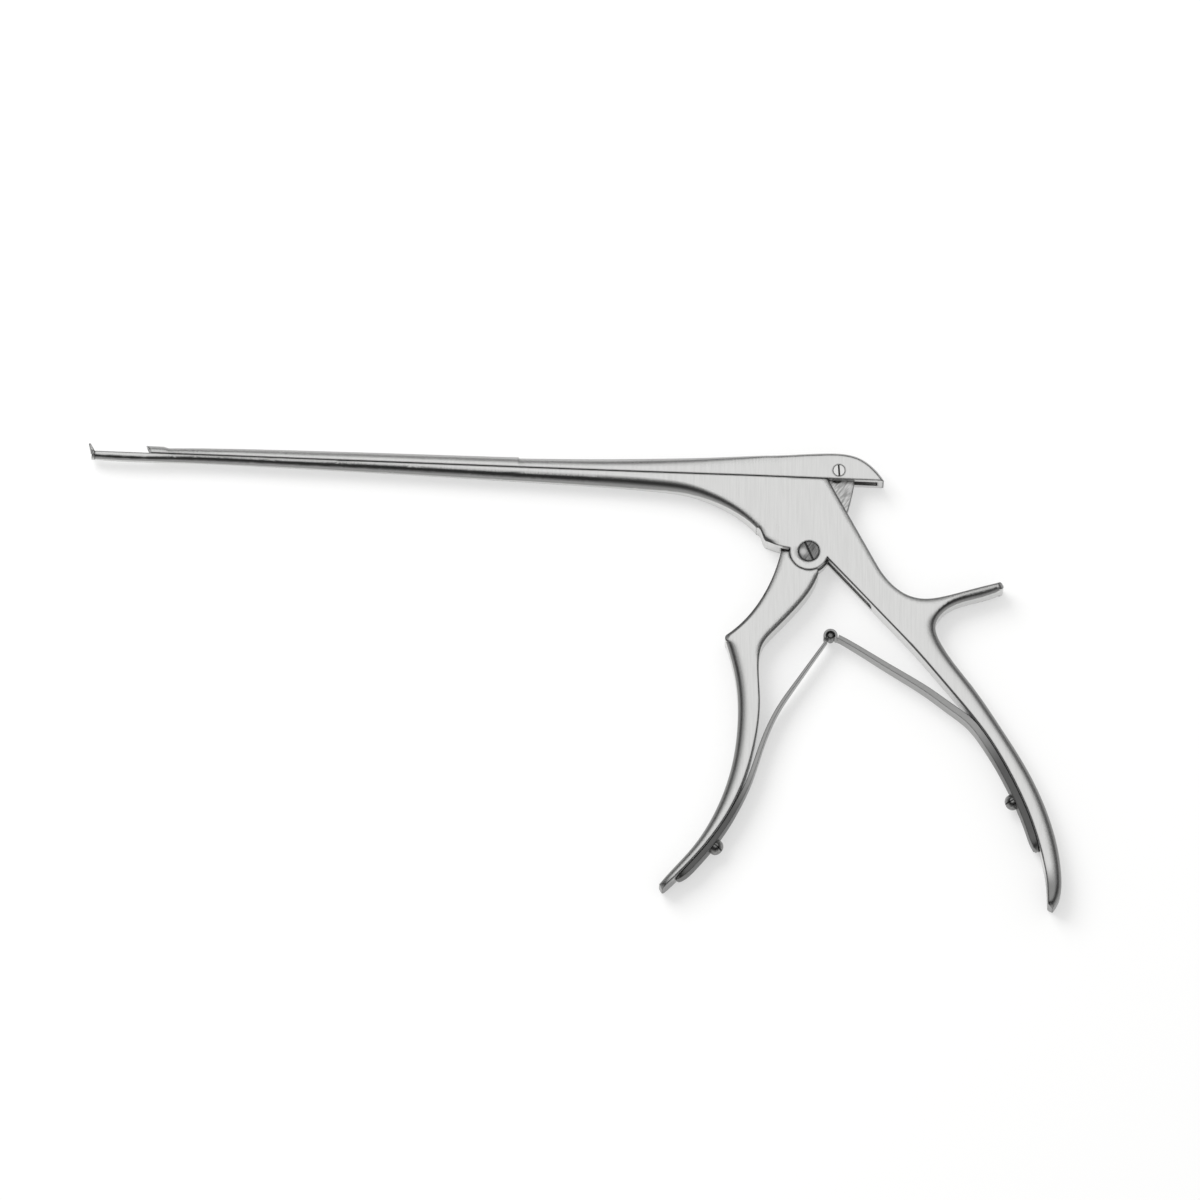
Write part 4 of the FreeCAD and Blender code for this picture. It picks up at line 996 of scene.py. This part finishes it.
def make_world(even_light):
    """White to the camera; for gloss a soft light above, a dim room and a pale horizon; else an even fill."""
    world = bpy.data.worlds.new("Studio")
    bpy.context.scene.world = world
    world.use_nodes = True
    tree = world.node_tree
    tree.nodes.clear()
    rays = add(tree, "ShaderNodeLightPath").outputs
    direction = add(tree, "ShaderNodeTexCoord").outputs["Generated"]
    tilt = math.radians(VIEW_TILT)
    nearness = vector_math(tree, "DOT_PRODUCT", direction, (0.0, math.sin(tilt), math.cos(tilt)))
    above = ramp(tree, nearness, [(0.0, 0.06), (0.7, 0.06), (0.8, 0.15), (0.9, 0.95), (1.0, 1.02)])
    height = separated(tree, direction)["Z"]
    horizon = ramp(tree, height, [(0.0, 0.8), (0.1, 0.55), (0.36, 0.28), (0.5, 0.0)])
    room = mix_colour(tree, 1.0, above, horizon, blend="ADD")
    for_gloss = mix_colour(tree, rays["Is Glossy Ray"], grey(even_light), room)
    seen = mix_colour(tree, rays["Is Camera Ray"], for_gloss, (1.0, 1.0, 1.0, 1.0))
    light = feed(tree, add(tree, "ShaderNodeBackground"), Color=seen)
    tree.links.new(light.outputs[0], add(tree, "ShaderNodeOutputWorld").inputs["Surface"])


def mixed_shaders(tree, factor, first, second):
    """The shader between two, by a factor."""
    node = add(tree, "ShaderNodeMixShader")
    fill(tree, node.inputs, (factor, first, second))
    return node.outputs[0]


def make_floor(colour, shadow_share):
    """A wide pale floor under the instrument, open to a view from below, with a softened shadow."""
    mesh = bpy.data.meshes.new("floor")
    height = LOW_FACE - FLOOR_GAP
    corners = [
        (side_x * FLOOR_REACH, side_y * FLOOR_REACH, height)
        for side_x, side_y in ((-1, -1), (1, -1), (1, 1), (-1, 1))
    ]
    mesh.from_pydata(corners, [], [(0, 1, 2, 3)])
    floor = placed_object("floor", mesh)
    material = bpy.data.materials.new("floor_paper")
    material.use_nodes = True
    tree = material.node_tree
    tree.nodes.clear()
    paper = feed(tree, add(tree, "ShaderNodeBsdfDiffuse"), Color=colour)
    white = add(tree, "ShaderNodeEmission")
    rays = add(tree, "ShaderNodeLightPath").outputs
    seen = math_node(tree, "MAXIMUM", rays["Is Camera Ray"], rays["Is Glossy Ray"])
    seen = math_node(tree, "MAXIMUM", seen, rays["Is Transmission Ray"])
    share = math_node(tree, "MULTIPLY", seen, 1.0 - shadow_share)
    lit = mixed_shaders(tree, share, paper.outputs[0], white.outputs[0])
    clear = add(tree, "ShaderNodeBsdfTransparent").outputs[0]
    either = mixed_shaders(tree, add(tree, "ShaderNodeNewGeometry").outputs["Backfacing"], lit, clear)
    tree.links.new(either, add(tree, "ShaderNodeOutputMaterial").inputs["Surface"])
    mesh.materials.append(material)


class RONGEUR_OT_stage(bpy.types.Operator):
    """Make the camera, lamps, surroundings and floor"""

    bl_idname = "rongeur.stage"
    bl_label = "Stage"

    def execute(self, context):
        settings = context.scene.rongeur_stage
        context.scene.view_settings.view_transform = "Standard"
        place_camera(settings.lens)
        make_world(settings.fill)
        make_floor(settings.floor_colour, settings.shadow_share)
        key = lamp("Key", KEY_PLACE, KEY_TARGET, KEY_SIZE, settings.key_power)
        key.visible_glossy = False
        return {"FINISHED"}


class RONGEUR_OT_forgings(bpy.types.Operator):
    """Finish the frame with its footplate, the sliding shaft and the front handle"""

    bl_idname = "rongeur.forgings"
    bl_label = "Forgings"

    def execute(self, context):
        for name in ("frame", "footplate", "sliding_shaft", "front_handle"):
            dress(name, "satin_steel", name)
        return {"FINISHED"}


class RONGEUR_OT_leaves(bpy.types.Operator):
    """Make both leaf springs, the rear one with its rolled end, and finish the bead between them"""

    bl_idname = "rongeur.leaves"
    bl_label = "Leaf springs"

    def execute(self, context):
        socket_radius = BEAD_RADIUS + SOCKET_CLEARANCE + SOCKET_WALL
        make_leaf("rear_leaf_spring", hinge_reach=0.9 * socket_radius,
                  ends=[rolled_end()], towards=1.0)
        make_leaf("front_leaf_spring", hinge_reach=0.85 * BEAD_RADIUS,
                  ends=[], towards=-1.0)
        dress("spring_hinge_pin", "screw_steel")
        return {"FINISHED"}


class RONGEUR_OT_screws(bpy.types.Operator):
    """Turn the pivot screw, the drive screw and both spring screws"""

    bl_idname = "rongeur.screws"
    bl_label = "Screws"

    def execute(self, context):
        settings = context.scene.rongeur_screws
        for name, body, sizes, slot_turn, slot_width, tone in (
            ("pivot_screw", "frame", PIVOT_SCREW, PIVOT_SLOT_TURN, settings.pivot_slot_width, 0.0),
            ("drive_screw", "slide", DRIVE_SCREW, DRIVE_SLOT_TURN, settings.slot_width, 1.0),
        ):
            low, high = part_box(name)
            middle = (low + high) / 2
            place = Vector((middle.x, middle.y, high.z - sizes[1]))
            make_screw(name, body, sizes, slot_turn, slot_width, tone, place)
        for name, body, sizes in (
            ("rear_spring_screw", "frame", REAR_SPRING_SCREW),
            ("front_spring_screw", "handle", FRONT_SPRING_SCREW),
        ):
            place, turn = lying_screw(name, sizes[0], sizes[3])
            slot = (SPRING_SLOT_TURN, settings.slot_width)
            make_screw(name, body, sizes, *slot, SPRING_SCREW_TONE, place, turn)
        return {"FINISHED"}


class RONGEUR_PT_panel(bpy.types.Panel):
    """Sizes, tones and steps of the instrument"""

    bl_label = "Bone rongeur"
    bl_idname = "RONGEUR_PT_panel"
    bl_space_type = "VIEW_3D"
    bl_region_type = "UI"
    bl_category = "Rongeur"

    def draw(self, context):
        for operator in OPERATORS:
            self.layout.operator(operator.bl_idname)
        for name in SETTINGS:
            group = getattr(context.scene, name)
            box = self.layout.box()
            for key in group.bl_rna.properties.keys():
                if key not in ("rna_type", "name"):
                    box.prop(group, key)


SETTINGS = {
    "rongeur_stage": RongeurStage,
    "rongeur_steel": RongeurSteel,
    "rongeur_springs": RongeurSprings,
    "rongeur_screws": RongeurScrews,
}
OPERATORS = (RONGEUR_OT_stage, RONGEUR_OT_forgings, RONGEUR_OT_leaves, RONGEUR_OT_screws)


def register():
    for group in SETTINGS.values():
        bpy.utils.register_class(group)
    for operator in OPERATORS:
        bpy.utils.register_class(operator)
    bpy.utils.register_class(RONGEUR_PT_panel)
    for name, group in SETTINGS.items():
        setattr(bpy.types.Scene, name, bpy.props.PointerProperty(type=group))


def unregister():
    for name in SETTINGS:
        delattr(bpy.types.Scene, name)
    bpy.utils.unregister_class(RONGEUR_PT_panel)
    for operator in reversed(OPERATORS):
        bpy.utils.unregister_class(operator)
    for group in reversed(list(SETTINGS.values())):
        bpy.utils.unregister_class(group)


def main():
    register()
    bpy.ops.rongeur.stage()
    bpy.ops.rongeur.forgings()
    bpy.ops.rongeur.leaves()
    bpy.ops.rongeur.screws()
    bpy.context.view_layer.update()


if __name__ == "__main__":
    main()
